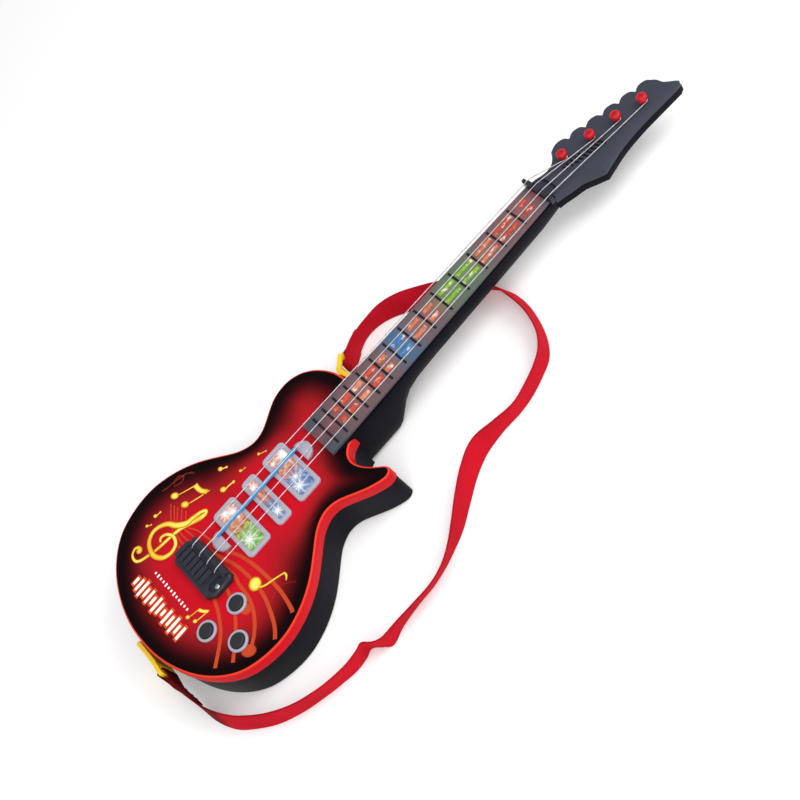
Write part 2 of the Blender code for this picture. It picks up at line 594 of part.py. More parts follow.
def make_button_board():
    """Circuit board under the buttons, with its chip, and the rubber mat the caps press on."""
    board = block("main_board", (27, -42, 26.6), (71.5, 4, 28.2), "circuit_board")
    weld(board, block("chip", (36, -28, 24.6), (48, -12, 26.8), "circuit_board"))
    mat = block("button_mat", (28, -41, 28.2 + GAP), (70.5, 3, 29.3), "rubber_mat")
    dome = [(4.6, 29.0), (4.2, 30.4), (2.6, 31.0)]
    weld(mat, *[turned("dome", dome, (x, y, 0), "rubber_mat", 12) for x, y in BUTTONS])


def make_window_light_board():
    """Circuit board under the windows, with a pair of round lamps for each."""
    board = block("window_light_board", (-24, 19, 29.4), (24, 97, 31.0), "circuit_board")
    lamp = [(2.4, 30.8), (2.4, 32.8), (1.7, 33.8), (0.6, 34.2)]
    lamps = []
    for low, high in WINDOWS.values():
        for x in (-12.0, 12.0):
            lamps.append(turned("lamp", lamp, (x, (low + high) / 2, 0), "circuit_board", 10))
    weld(board, *lamps)


# Inside and back


def make_speaker():
    """Small loudspeaker, cone towards the grille."""
    frame = [(24.0, WALL + GAP), (24.0, 4.2), (21.0, 5.0), (15.5, 12.5), (15.5, 18.5), (4.0, 18.5)]
    cone = [(4.0, 15.0), (6.0, 8.5), (20.5, 4.0), (22.0, WALL + GAP)]
    turned("speaker", [*frame, *cone], (*SPEAKER, 0), "speaker_metal", closed=True)


def make_battery_bay():
    """Battery tray, three cells, their contacts, and the cover that swings from its tail edge."""
    tray = block("battery_tray", (-26.6, -52, WALL + 0.5), (26.6, 20, 20.2), "black_plastic")
    room = block("room", (-24.2, -48.8, 0), (24.2, 7.8, 18.6), "black_plastic")
    pilot = drum("pilot", COVER_SCREW, 2.0, 0, 11, "black_plastic", 12)
    cut(tray, room, pilot)
    for number in range(3):
        x = (number - 1) * CELL_PITCH
        length = CELL_END - CELL_START
        ends = [(6.4, 0), (CELL_RADIUS, 0.6), (CELL_RADIUS, length - 1.8)]
        ends += [(6.4, length - 1.2), (2.7, length - 1.2), (2.7, length)]
        if number == 1:
            ends = [(radius, length - height) for radius, height in reversed(ends)]
        turned(f"battery_{number + 1}", ends, (x, CELL_START, CELL_Z), "cell_wrap", 16, (0, 1, 0))
    for name, y, side in (("tail", -47.9, 1), ("head", 6.9, -1)):
        low, high = sorted((y, y + side * 0.5))
        plate = block(f"battery_contact_{name}", (-22, low, 6), (22, high, 15.4), "zinc_steel")
        springs = []
        for number in range(3):
            spot = ((number - 1) * CELL_PITCH, y + side * 0.3, CELL_Z)
            springs.append(turned("spring", [(3.6, 0), (2.0, 1.9)], spot, "zinc_steel", 10, (0, side, 0)))
        weld(plate, *springs)
    low, high = (-COVER_HALF, COVER_START, 0.4), (COVER_HALF, COVER_END, WALL)
    cover = block("battery_cover", low, high, "black_plastic")
    cover_origin = (0.0, COVER_START, 0.4)
    hole = drum("hole", COVER_SCREW, 1.4, -2, 6, "black_plastic", 12)
    sink = drum("sink", COVER_SCREW, 2.5, -2, 1.2, "black_plastic", 12)
    cut(cover, hole, sink)
    move_origin(cover, cover_origin)
    screw = [(2.1, 0.5), (2.1, 0.9), (1.1, 1.0), (1.1, 5.4), (0.4, 6.3)]
    turned("battery_cover_screw", screw, (*COVER_SCREW, 0), "zinc_steel", 12, origin=cover_origin)


def move_origin(body, spot):
    """Puts a body's origin at a design point without moving the body."""
    origin = place(*spot)
    body.data.transform(Matrix.Translation(body.location - origin))
    body.location = origin


def make_power_switch():
    """Slide switch in the back: the ribbed knob moves, its housing stays."""
    x, y = SWITCH
    knob = block("power_switch_knob", (x - 2.5, y - 2.5, 0.4), (x + 2.5, y + 2.5, 3.0), "grey_plastic")
    foot = block("foot", (x - 4.6, y - 5.0, 2.7), (x + 4.6, y + 5.0, 3.9), "grey_plastic")
    stem = block("stem", (x - 1.0, y - 1.0, 3.5), (x + 1.0, y + 1.0, 6.4), "grey_plastic")
    weld(knob, foot, stem)
    grooves = [((x - 3, y + step - 0.3, -1), (x + 3, y + step + 0.3, 0.9)) for step in (-1.5, 0.0, 1.5)]
    cut(knob, blocks("grooves", grooves, "grey_plastic"))
    move_origin(knob, (x, y, 2.0))
    low, high = (x - 5.5, y - 6, 4.2), (x + 5.5, y + 6 + SWITCH_TRAVEL, 10.5)
    body = block("power_switch_body", low, high, "zinc_steel")
    cut(body, block("slot", (x - 1.4, y - 1.4, 3), (x + 1.4, y + 1.4 + SWITCH_TRAVEL, 7.0), "zinc_steel"))


def make_screws():
    """Screws that hold the case, the neck and the bridge."""
    for number, (x, y) in enumerate(CASE_SCREWS, 1):
        shape = [(3.0, 8.8), (3.0, 10.6), (1.4, 11.4), (1.4, 33.0), (0.4, 34.4)]
        turned(f"case_screw_{number}", shape, (x, y, 0), "zinc_steel", 8)
    for number, (x, y) in enumerate(NECK_SCREWS, 1):
        shape = [(2.7, 0.8), (2.7, 2.0), (1.4, 2.7), (1.4, 17.0), (0.4, 18.4)]
        turned(f"neck_screw_{number}", shape, (x, y, 0), "zinc_steel", 8)
    shape = [(0.4, 28.0), (1.3, 29.4), (1.3, 40.8), (2.2, 41.0), (2.2, 41.6), (1.4, 42.1)]
    turned("bridge_screw", shape, (*BRIDGE_SCREW, 0), "zinc_steel", 12)


def make_neck_wire():
    """Wire from the main board to the neck's light board, through the hollow heel."""
    points = [(31, 5.2, 27.4), (30, 12, 26.4), (28, 40, 26.4), (24, 80, 26.4), (14, 104, 28.4)]
    points += [(6, 112, 30.0), (6, 122, 30.0), (2, 136, 31.8), (0, 142, 32.4)]
    return add_wire("neck_wire", points, 0.8, "wire")


# Strap and its tabs

# Each yellow tab is a flexible plate: a flat base with its peg, then a slotted part that lifts off.
TAIL_TAB = {"name": "tail", "start": (-9.0, -72.2), "along": 0.0, "base": 21.2, "lift": 6.0, "peg": 7.0}
SHOULDER_TAB = {
    "name": "shoulder", "start": (-22.6, 158.2), "along": 195.0, "base": 11.9, "lift": 62.0, "peg": 6.5,
}
TAB_THICK, TAB_HEIGHT, TAB_SLOTTED, TAB_STANDOFF, TAB_BEND = 3.2, 24.0, 13.5, 2.6, 3.0
SLOT_START, SLOT_END, SLOT_HALF = 2.9, 9.0, 9.7


def tab_out(tab):
    """The direction in which a tab stands out from the body."""
    angle = math.radians(tab["along"] - 90)
    return (math.cos(angle), math.sin(angle), 0.0)


def tab_point(tab, along, out, z):
    """A point given along a tab's base, out from the body, and in height."""
    angle = math.radians(tab["along"])
    x = tab["start"][0] + along * math.cos(angle) + out * tab_out(tab)[0]
    y = tab["start"][1] + along * math.sin(angle) + out * tab_out(tab)[1]
    return (x, y, z)


def tab_ring(tab, along, out, turn, half_thick, half):
    """One cross-section of a tab, turned with the plate where it bends off the body."""
    middle_out = TAB_STANDOFF + TAB_THICK / 2 + out
    ring = []
    for side, z in ((-1, -half), (1, -half), (1, half), (-1, half)):
        step = side * half_thick
        spot = along - step * math.sin(turn), middle_out + step * math.cos(turn)
        ring.append(tab_point(tab, *spot, STRAP_MIDDLE + z))
    return ring


def make_tab(tab):
    """One strap tab, its slot for the webbing, its standoff and its screw."""
    lift, half = math.radians(tab["lift"]), TAB_HEIGHT / 2
    path = [(0.0, 0.0, 0.0, half - 4.0), (1.2, 0.0, 0.0, half)]
    for share in (0.0, 0.5, 1.0):
        turn = lift * share
        path.append((tab["base"] + TAB_BEND * math.sin(turn), TAB_BEND * (1 - math.cos(turn)), turn, half))
    along, out = path[-1][:2]
    for run, reach in ((TAB_SLOTTED - 1.0, half), (TAB_SLOTTED, half - 1.5)):
        path.append((along + run * math.cos(lift), out + run * math.sin(lift), lift, reach))
    rings = [tab_ring(tab, a, b, turn, TAB_THICK / 2, reach) for a, b, turn, reach in path]
    plate = loft(f"strap_tab_{tab['name']}", rings, "tab_plastic")
    peg, facing = tab_point(tab, tab["peg"], 0, STRAP_MIDDLE), tab_out(tab)
    weld(plate, turned("standoff", [(5.2, 0.4), (5.2, TAB_STANDOFF + 1.6)], peg, "tab_plastic", 16, facing))
    slot = []
    for run in (SLOT_START, SLOT_END):
        spot = along + run * math.cos(lift), out + run * math.sin(lift)
        slot.append(tab_ring(tab, *spot, lift, TAB_THICK, SLOT_HALF))
    hole = turned("hole", [(1.8, -1), (1.8, 12)], peg, "tab_plastic", 12, facing)
    sink = turned("sink", [(3.4, TAB_STANDOFF + 1.6), (3.4, 12)], peg, "tab_plastic", 12, facing)
    cut(plate, loft("slot", slot, "tab_plastic"), hole, sink)
    shape = [(0.4, -6.5), (1.4, -5.4), (1.4, 4.2), (2.9, 4.6), (2.9, 5.3), (1.8, 5.7)]
    turned(f"tab_screw_{tab['name']}", shape, peg, "zinc_steel", 12, facing)


def make_strap():
    """The webbing strap, lying loose beside the guitar and under its neck."""
    half, thick = STRAP_WIDTH / 2, STRAP_THICK / 2
    route = []
    for x, y, z, lean in STRAP_ROUTE:
        tilt = math.radians(lean)
        rest = half * abs(math.sin(tilt)) + thick * abs(math.cos(tilt)) + GAP
        route.append((x, y, rest if z is None else z, lean))
    line = smooth_run(route, 2)
    rings = []
    for i, (x, y, z, lean) in enumerate(line):
        before, after = line[max(i - 1, 0)], line[min(i + 1, len(line) - 1)]
        along = Vector((after[0] - before[0], after[1] - before[1], 0.0)).normalized()
        tilt = math.radians(lean)
        left = Vector((-along.y, along.x, 0.0))
        wide = left * math.cos(tilt) + Vector((0.0, 0.0, math.sin(tilt)))
        flat = wide.cross(along).normalized()
        centre = Vector((x, y, z))
        corners = ((-1, -1), (1, -1), (1, 1), (-1, 1))
        ring = [centre + wide * half * a + flat * thick * b for a, b in corners]
        rings.append([tuple(point) for point in ring])
    loft("strap", rings, "webbing")


def build():
    for leftover in list(bpy.data.objects):
        bpy.data.objects.remove(leftover)
    body, head = body_outline(), head_outline()
    make_front_shell(body)
    make_back_shell(body)
    make_neck_shell(head)
    make_headstock_cover(head)
    make_fretboard()
    make_neck_light_board()
    make_nut()
    make_bridge()
    make_strings()
    make_posts()
    make_windows()
    make_buttons()
    make_button_board()
    make_window_light_board()
    make_speaker()
    make_battery_bay()
    make_power_switch()
    make_screws()
    make_neck_wire()
    make_tab(TAIL_TAB)
    make_tab(SHOULDER_TAB)
    make_strap()


build()
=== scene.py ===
"""Looks of the toy electric guitar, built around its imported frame.

Design points are in millimetres, as a luthier would give them: x from the centreline, y from the line
where the strings meet the bridge, z from the surface that the guitar lies on.
"""

import json
import math

import bmesh
import bpy
from mathutils import Matrix, Vector


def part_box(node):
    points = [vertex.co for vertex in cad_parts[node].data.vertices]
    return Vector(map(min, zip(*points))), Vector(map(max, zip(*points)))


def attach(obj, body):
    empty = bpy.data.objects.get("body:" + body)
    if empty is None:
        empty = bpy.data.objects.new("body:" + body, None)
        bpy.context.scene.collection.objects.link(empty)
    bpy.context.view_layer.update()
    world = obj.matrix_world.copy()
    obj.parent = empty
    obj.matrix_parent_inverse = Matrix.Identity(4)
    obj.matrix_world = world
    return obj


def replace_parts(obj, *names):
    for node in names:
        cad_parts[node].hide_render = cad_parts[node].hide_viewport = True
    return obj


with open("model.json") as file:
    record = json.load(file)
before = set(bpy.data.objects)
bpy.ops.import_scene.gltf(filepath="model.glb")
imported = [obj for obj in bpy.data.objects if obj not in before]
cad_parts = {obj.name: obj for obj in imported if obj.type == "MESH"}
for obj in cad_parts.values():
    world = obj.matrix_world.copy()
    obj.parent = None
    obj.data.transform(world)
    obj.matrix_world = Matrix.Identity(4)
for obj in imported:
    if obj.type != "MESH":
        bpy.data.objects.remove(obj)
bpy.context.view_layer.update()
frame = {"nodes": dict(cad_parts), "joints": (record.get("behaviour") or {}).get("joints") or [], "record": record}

MM = 0.001
NODES = frame["nodes"]
JOINTS = {joint["name"]: joint for joint in frame["joints"]}


def box_mm(node):
    """A CAD node's lowest and highest corners, as design points."""
    low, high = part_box(node)
    return to_design(low), to_design(high)


def to_design(point):
    return Vector((point[0] / MM, point[1] / MM - BRIDGE_Y, point[2] / MM))


def place(x, y, z=0.0):
    """A design point, in metres in the frame."""
    return Vector((x, y + BRIDGE_Y, z)) * MM


# Driving places, read from the frame
BRIDGE_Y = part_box("bridge")[0].y / MM + 18.2  # the bridge block starts 18.2 mm behind its line
FACE = box_mm("front_shell")[1].z
SEAM = box_mm("front_shell")[0].z
NUT = box_mm("nut")[0].y + 0.3
BOARD_LOW, BOARD_HIGH = box_mm("fretboard_cover")
BUTTONS = [to_design(JOINTS[f"press_button_{n}"]["pos_m"]) for n in (1, 2, 3)]
POSTS = [to_design(JOINTS[f"turn_post_{n}"]["pos_m"]) for n in (1, 2, 3, 4)]
WINDOWS = {name: box_mm(f"window_bezel_{name}") for name in ("upper", "middle", "lower")}
FRET_COUNT, FIRST_FRET_SPACE, FRET_STEP = 14, 22.2, 0.97
STRING_PITCH_BRIDGE, STRING_PITCH_NUT, STRING_RADIUS = 9.9, 7.9, 0.38

# Strap: a flat 18 mm webbing that stands on its edge. Each point has the height of its middle
# (None where its lower edge rests on the surface) and the lean of its width in degrees.
STRAP_WIDTH, STRAP_THICK = 18.0, 1.4
STRAP_ROUTE = [
    (28.0, -78.0, 18.5, 90), (34.0, -77.5, 18.0, 88), (50.0, -76.0, 14.0, 86), (66.0, -73.5, 10.6, 78),
    (81.0, -67.0, None, 73), (92.5, -58.0, None, 77), (105.0, -44.0, None, 83),
    (114.5, -27.0, None, 92), (120.5, -9.0, None, 97), (123.5, 5.0, None, 97),
    (125.0, 18.0, None, 95), (124.0, 28.0, None, 95), (122.5, 34.5, None, 97),
    (128.5, 40.5, None, 98), (132.5, 47.0, None, 92), (130.5, 60.0, None, 104),
    (129.5, 76.0, None, 112), (129.0, 93.0, None, 114), (126.0, 107.0, None, 111),
    (120.5, 120.0, None, 102), (112.5, 134.0, None, 88), (102.0, 149.0, None, 79),
    (91.0, 166.0, None, 73), (84.0, 183.0, None, 70), (84.5, 202.0, None, 90),
    (86.0, 219.0, None, 97), (83.5, 234.0, None, 93), (78.5, 249.0, None, 91),
    (72.0, 261.0, None, 86), (60.0, 270.5, None, 84), (42.0, 277.5, None, 78),
    (23.0, 280.5, None, 70), (5.0, 279.0, None, 72), (-13.0, 270.5, None, 85),
    (-30.0, 256.5, None, 104), (-44.0, 241.0, None, 120), (-54.0, 228.5, None, 116),
    (-60.5, 215.5, None, 100), (-62.8, 203.0, None, 86), (-61.0, 192.0, 10.8, 84),
    (-56.0, 183.0, 13.0, 87), (-49.0, 175.0, 16.5, 90), (-44.6, 171.2, 18.5, 92),
]


# Materials


class Shader:
    """A Principled material and short ways to add nodes to it."""

    def __init__(self, name, **values):
        self.material = bpy.data.materials.new(name)
        self.material.use_nodes = True
        self.nodes = self.material.node_tree.nodes
        self.links = self.material.node_tree.links
        self.out = self.nodes["Principled BSDF"]
        self.set(**values)

    def set(self, **values):
        for key, value in values.items():
            socket = self.out.inputs[key.replace("_", " ")]
            if hasattr(value, "is_output"):
                self.links.new(value, socket)
            elif isinstance(value, tuple) and len(value) == 3 and socket.type == "RGBA":
                socket.default_value = (*value, 1.0)
            else:
                socket.default_value = value

    def node(self, kind, inputs=(), **values):
        """A node with its inputs set from numbers or from other sockets."""
        made = self.nodes.new("ShaderNode" + kind)
        for key, value in values.items():
            setattr(made, key, value)
        for key, value in dict(inputs).items():
            if hasattr(value, "is_output"):
                self.links.new(value, made.inputs[key])
            else:
                made.inputs[key].default_value = value
        return made

    def place(self):
        """The point on the object, in metres."""
        return self.node("TexCoord").outputs["Object"]

    def math(self, operation, a, b=0.0, c=0.0):
        return self.node("Math", {0: a, 1: b, 2: c}, operation=operation).outputs[0]

    def plus(self, a, b):
        return self.math("ADD", a, b)

    def minus(self, a, b):
        return self.math("SUBTRACT", a, b)

    def times(self, a, b):
        return self.math("MULTIPLY", a, b)

    def axis(self, name, vector=None):
        split = self.node("SeparateXYZ", {0: self.place() if vector is None else vector})
        return split.outputs[name]

    def attribute(self, name):
        return self.node("Attribute", attribute_name=name).outputs["Fac"]

    def noise(self, scale, detail=3.0, roughness=0.5):
        values = {"Vector": self.place(), "Scale": scale, "Detail": detail, "Roughness": roughness}
        return self.node("TexNoise", values).outputs["Fac"]

    def ramp(self, value, stops, interpolation="LINEAR"):
        """Colours at places from 0 to 1."""
        made = self.node("ValToRGB", {0: value})
        ramp = made.color_ramp
        ramp.interpolation = interpolation
        while len(ramp.elements) < len(stops):
            ramp.elements.new(1.0)
        for element, (at, colour) in zip(ramp.elements, stops):
            element.position = at
            colour = colour if isinstance(colour, tuple) else (colour,) * 3
            element.color = (*colour, 1.0)
        return made.outputs["Color"]

    def scaled(self, value, low, high, to_low=0.0, to_high=1.0, smooth=False):
        """A value mapped from one range to another, and held at its ends."""
        made = self.node("MapRange", {0: value, 1: low, 2: high, 3: to_low, 4: to_high})
        made.clamp = True
        if smooth:
            made.interpolation_type = "SMOOTHSTEP"
        return made.outputs[0]

    def mix(self, share, a, b, blend="MIX"):
        made = self.node("Mix", data_type="RGBA", blend_type=blend)
        for index, value in ((0, share), (6, a), (7, b)):
            if hasattr(value, "is_output"):
                self.links.new(value, made.inputs[index])
            elif index == 0:
                made.inputs[index].default_value = value
            else:
                made.inputs[index].default_value = (*value, 1.0)
        return made.outputs[2]

    def bump(self, height, strength, distance):
        made = self.node("Bump", {"Height": height, "Strength": strength, "Distance": distance})
        self.set(Normal=made.outputs["Normal"])


def srgb(red, green, blue):
    """A colour given in screen values from 0 to 255, as the shader's linear colour."""
    def linear(value):
        value /= 255
        return value / 12.92 if value <= 0.04045 else ((value + 0.055) / 1.055) ** 2.4
    return (linear(red), linear(green), linear(blue))


def shades(*rows):
    """A ramp's stops, each given as its place and its screen colour."""
    return [(at, srgb(*colour)) for at, *colour in rows]


def moulded(name, colour, roughness, grain=0.06, mottle=0.12, coat=0.0, specular=0.28):
    """Moulded plastic: a fine grain in the surface, and slight changes of colour and gloss."""
    shader = Shader(name, Roughness=roughness, Specular_IOR_Level=specular,
                    Coat_Weight=coat, Coat_Roughness=0.12)
    large, fine = shader.noise(38.0, 4.0), shader.noise(2600.0, 2.0)
    dark = tuple(value * (1 - mottle) for value in colour)
    light = tuple(min(1.0, value * (1 + mottle)) for value in colour)
    shader.set(Base_Color=shader.mix(large, dark, light))
    shader.set(Roughness=shader.scaled(large, 0.3, 0.7, roughness * 0.88, roughness * 1.12))
    shader.bump(fine, grain, 0.0002)
    return shader.material


# Outlines


def slice_loops(node, z):
    """The closed outlines where a level plane cuts a CAD node, as design points, largest first."""
    work = bmesh.new()
    work.from_mesh(NODES[node].data)
    bmesh.ops.remove_doubles(work, verts=work.verts, dist=1e-6)
    everything = [*work.verts, *work.edges, *work.faces]
    found = bmesh.ops.bisect_plane(work, geom=everything, plane_co=(0, 0, z * MM), plane_no=(0, 0, 1))
    edges = [item for item in found["geom_cut"] if isinstance(item, bmesh.types.BMEdge)]
    near = {}
    for edge in edges:
        for a, b in (edge.verts, reversed(edge.verts)):
            near.setdefault(a, []).append(b)
    loops, seen = [], set()
    for start in near:
        if start in seen:
            continue
        loop, last, here = [], None, start
        while here is not None and here not in seen:
            seen.add(here)
            loop.append(to_design(here.co))
            last, here = here, next((v for v in near[here] if v not in seen), None)
        loops.append(straightened([(p.x, p.y) for p in loop]))
    work.free()
    loops = [loop if area(loop) > 0 else loop[::-1] for loop in loops if len(loop) > 2]
    return sorted(loops, key=area, reverse=True)


def area(loop):
    return sum(a[0] * b[1] - b[0] * a[1] for a, b in zip(loop, [*loop[1:], loop[0]])) / 2


def turn_at(loop, i):
    """How far an outline turns at one of its points, in degrees."""
    before = Vector(loop[i]) - Vector(loop[i - 1])
    after = Vector(loop[(i + 1) % len(loop)]) - Vector(loop[i])
    if before.length < 1e-6 or after.length < 1e-6:
        return 0.0
    return math.degrees(before.angle(after))


def straightened(loop):
    """An outline without the points that lie on its straight stretches."""
    return [point for i, point in enumerate(loop) if turn_at(loop, i) > 0.3]


def smooth_run(points, steps):
    """A Catmull-Rom curve through points, with both its ends."""
    padded = [points[0], *points, points[-1]]
    curve = []
    for a, b, c, d in zip(padded, padded[1:], padded[2:], padded[3:]):
        for step in range(steps):
            t = step / steps
            curve.append(tuple(
                0.5 * (2 * q + (r - p) * t
                       + (2 * p - 5 * q + 4 * r - s) * t**2
                       + (3 * q - p - 3 * r + s) * t**3)
                for p, q, r, s in zip(a, b, c, d)
            ))
    return [*curve, points[-1]]


def smoothed(loop, steps=4, corner=38.0):
    """An outline with its curved stretches made smooth between its corners."""
    corners = [i for i in range(len(loop)) if turn_at(loop, i) > corner]
    if not corners:
        closed = smooth_run([*loop[-2:], *loop, *loop[:2]], steps)
        return closed[2 * steps:-2 * steps - 1]
    loop = loop[corners[0]:] + loop[:corners[0]]
    marks = [i - corners[0] for i in corners] + [len(loop)]
    ring = [*loop, loop[0]]
    result = []
    for first, last in zip(marks, marks[1:]):
        run = ring[first:last + 1]
        result += smooth_run(run, steps)[:-1] if len(run) > 2 else run[:-1]
    return result


def inset(outline, distance):
    """A counter-clockwise outline moved inwards. Points that would cross at a corner are gathered there."""
    count = len(outline)
    moved, good = [], []
    for i, point in enumerate(outline):
        before = (Vector(point) - Vector(outline[i - 1])).normalized()
        after = (Vector(outline[(i + 1) % count]) - Vector(point)).normalized()
        inward = Vector((-before.y - after.y, before.x + after.x)).normalized()
        stretch = max(0.4, inward.dot(Vector((-before.y, before.x))))
        moved.append(Vector(point) + inward * (distance / stretch))
    reach = min(24, count // 3)
    for i, spot in enumerate(moved):
        near = min(gap_to(spot, outline[(i + k) % count], outline[(i + k + 1) % count])
                   for k in range(-reach, reach))
        good.append(near > 0.96 * abs(distance))
    if not any(good):
        return [tuple(spot) for spot in moved]
    settled = []
    for i in range(count):
        step = 0
        while not (good[(i + step) % count] or good[i - step]):
            step += 1
        settled.append(tuple(moved[(i + step) % count] if good[(i + step) % count] else moved[i - step]))
    return settled


def gap_to(spot, start, end):
    """How far a point is from a straight stretch."""
    start, run = Vector(start), Vector(end) - Vector(start)
    share = max(0.0, min(1.0, (spot - start).dot(run) / max(run.length_squared, 1e-12)))
    return (spot - start - run * share).length


def rounded(low, high, radius, steps=8):
    """A rectangle with round corners, counter-clockwise."""
    (x0, y0), (x1, y1) = low, high
    corners = [(x1 - radius, y0 + radius, -90), (x1 - radius, y1 - radius, 0),
               (x0 + radius, y1 - radius, 90), (x0 + radius, y0 + radius, 180)]
    outline = []
    for x, y, start in corners:
        for step in range(steps + 1):
            angle = math.radians(start + 90 * step / steps)
            outline.append((x + radius * math.cos(angle), y + radius * math.sin(angle)))
    return outline


def seen_from_above(low, high, step=0.0):
    """The corners of a box as seen from above, moved outwards by a step."""
    return (low.x - step, low.y - step), (high.x + step, high.y + step)


# Meshes


def put(name, data):
    """An object in the scene."""
    made = bpy.data.objects.new(name, data)
    bpy.context.collection.objects.link(made)
    return made


def store(mesh, name, values):
    """Keeps a number at each point of a mesh, for its material to read."""
    if len(values) != len(mesh.vertices):
        raise RuntimeError(f"{mesh.name}: its points were merged")
    mesh.attributes.new(name, "FLOAT", "POINT").data.foreach_set("value", values)


def upright_plane(axis, at):
    """The plane across x or y (axis 0 or 1) at a design place, to divide a mesh with."""
    spot = place(at, 0) if axis == 0 else place(0, at)
    return {"plane_co": spot, "plane_no": (1, 0, 0) if axis == 0 else (0, 1, 0)}


def add_mesh(name, points, faces, material, sharp=32.0, outward=True):
    """An object from design points, with round stretches shaded smooth."""
    mesh = bpy.data.meshes.new(name)
    mesh.from_pydata([place(*point) for point in points], [], faces)
    work = bmesh.new()
    work.from_mesh(mesh)
    bmesh.ops.remove_doubles(work, verts=work.verts, dist=1e-7)
    bmesh.ops.dissolve_degenerate(work, edges=work.edges, dist=1e-8)
    if outward:
        bmesh.ops.recalc_face_normals(work, faces=work.faces)
    work.to_mesh(mesh)
    work.free()
    mesh.shade_smooth()
    mesh.set_sharp_from_angle(angle=math.radians(sharp))
    mesh.materials.append(material)
    return put(name, mesh)


def join_rings(name, bodies, material, closed=False, sharp=32.0, outward=True):
    """One object of several bodies, each made of rings of design points.

    A body has flat ends, or when it is closed its last ring is joined to its first.
    """
    points, faces = [], []
    for rings in bodies:
        count, start = len(rings[0]), len(points)
        points += [point for ring in rings for point in ring]
        for row in range(len(rings) if closed else len(rings) - 1):
            here, there = start + row * count, start + (row + 1) % len(rings) * count
            for i in range(count):
                j = (i + 1) % count
                faces.append((here + i, here + j, there + j, there + i))
        if not closed:
            last = start + (len(rings) - 1) * count
            faces += [tuple(range(start + count - 1, start - 1, -1)), tuple(range(last, last + count))]
    return add_mesh(name, points, faces, material, sharp, outward)


def loft(name, rings, material, closed=False, sharp=32.0):
    """A body through rings of design points."""
    return join_rings(name, [rings], material, closed, sharp)


def stack(name, outline, levels, material, sharp=32.0):
    """An outline raised through levels, each a height and how far the outline is inset there."""
    rings = [[(x, y, z) for x, y in (inset(outline, step) if step else outline)] for z, step in levels]
    return loft(name, rings, material, sharp=sharp)


def turned(name, profile, centre, material, sides=48, axis=(0, 0, 1), closed=False, sharp=32.0):
    """A round body from a profile of radius and height along an axis."""
    turn = Vector((0, 0, 1)).rotation_difference(Vector(axis))
    rings = []
    for radius, height in profile:
        ring = []
        for i in range(sides):
            angle = math.tau * i / sides
            spot = turn @ Vector((radius * math.cos(angle), radius * math.sin(angle), height))
            ring.append(tuple(Vector(centre) + spot))
        rings.append(ring)
    return loft(name, rings, material, closed, sharp)


def drill(name, spot, radius, low, high, material):
    """A round cutter through a level wall."""
    return turned(name, [(radius, low), (radius, high)], (spot[0], spot[1], 0), material, 32)


def cut(target, *tools, operation="DIFFERENCE"):
    """Applies Boolean modifiers to a piece and removes the pieces it was combined with."""
    for tool in tools:
        modifier = target.modifiers.new("Boolean", "BOOLEAN")
        modifier.operation = operation
        modifier.object = tool
    settle(target)
    for tool in tools:
        bpy.data.objects.remove(tool)
    return target


def settle(target, sharp=None):
    """Applies a piece's modifiers to its mesh."""
    graph = bpy.context.evaluated_depsgraph_get()
    mesh = bpy.data.meshes.new_from_object(target.evaluated_get(graph))
    target.modifiers.clear()
    target.data = mesh
    if sharp:
        mesh.shade_smooth()
        mesh.set_sharp_from_angle(angle=math.radians(sharp))
    return target


# Pieces and the nodes that they stand for

RECORD = frame["record"]
BODY_OF = {node: body for body, nodes in RECORD["behaviour"]["bodies"].items() for node in nodes}
SLOT_OF = {part["node"]: part["material_slot"] for part in RECORD["subparts"]}


def stand_for(piece, *nodes):
    """The piece is shown in place of CAD nodes, and moves with them."""
    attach(piece, BODY_OF[nodes[0]])
    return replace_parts(piece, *nodes)


def belongs(piece, body="guitar"):
    """The piece is a detail with no CAD node of its own."""
    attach(piece, body)
    return piece


def refine(node, material, width, segments=3, sharp=30.0):
    """A copy of a CAD node with every edge rounded, which stands for the node."""
    work = bmesh.new()
    work.from_mesh(NODES[node].data)
    bmesh.ops.remove_doubles(work, verts=work.verts, dist=1e-6)
    bmesh.ops.dissolve_limit(work, angle_limit=math.radians(0.6), verts=work.verts, edges=work.edges)
    mesh = bpy.data.meshes.new(node + "_fine")
    work.to_mesh(mesh)
    work.free()
    mesh.materials.clear()
    mesh.materials.append(material)
    piece = put(node + "_fine", mesh)
    bevel = piece.modifiers.new("Bevel", "BEVEL")
    bevel.width, bevel.segments = width * MM, segments
    bevel.limit_method, bevel.angle_limit = "ANGLE", math.radians(34)
    settle(piece, sharp)
    return stand_for(piece, node)


# Shells

# The printed film ends this far inside the rim, rises this high over the face, and has cells this wide
PRINT_MARGIN, PRINT_TOP, PRINT_CELL = 1.7, 0.08, 3.0
WAIST = 74.0  # where the dark print round the rim is narrowest
NECK_NOTCH, NECK_END = 20.5, 118.0  # the neck's notch: half its width, and where it starts
NOTCH_HALF, NOTCH_START = 20.6, 115.0  # the same with room round it, to know the points that lie on it
BEZEL_BORDER, BUTTON_HOLE = 3.3, 6.9
FACE_CUT = (30, 45)  # cutters pass through the face between these heights
WALL, BACK_INSET = 2.2, 0.8  # the shells' wall, and how far the back shell lies inside the rim
OUTLINE_HEIGHT = 35.85  # where the body's outline is read from the front shell
GRILLE_REACH, GRILLE_PITCH = 19.0, 5.0
CASE_SCREWS = [(-72.0, -5.0), (76.0, 16.0), (0.0, -63.0), (-42.0, 126.0), (47.0, 108.0)]


def face_holes(material):
    """Cutters for the windows and the buttons."""
    tools = []
    for low, high in WINDOWS.values():
        opening = rounded(*seen_from_above(low, high, -BEZEL_BORDER), 2.5, 4)
        tools.append(stack("hole", opening, [(z, 0) for z in FACE_CUT], material))
    return tools + [drill("hole", spot, BUTTON_HOLE, *FACE_CUT, material) for spot in BUTTONS]


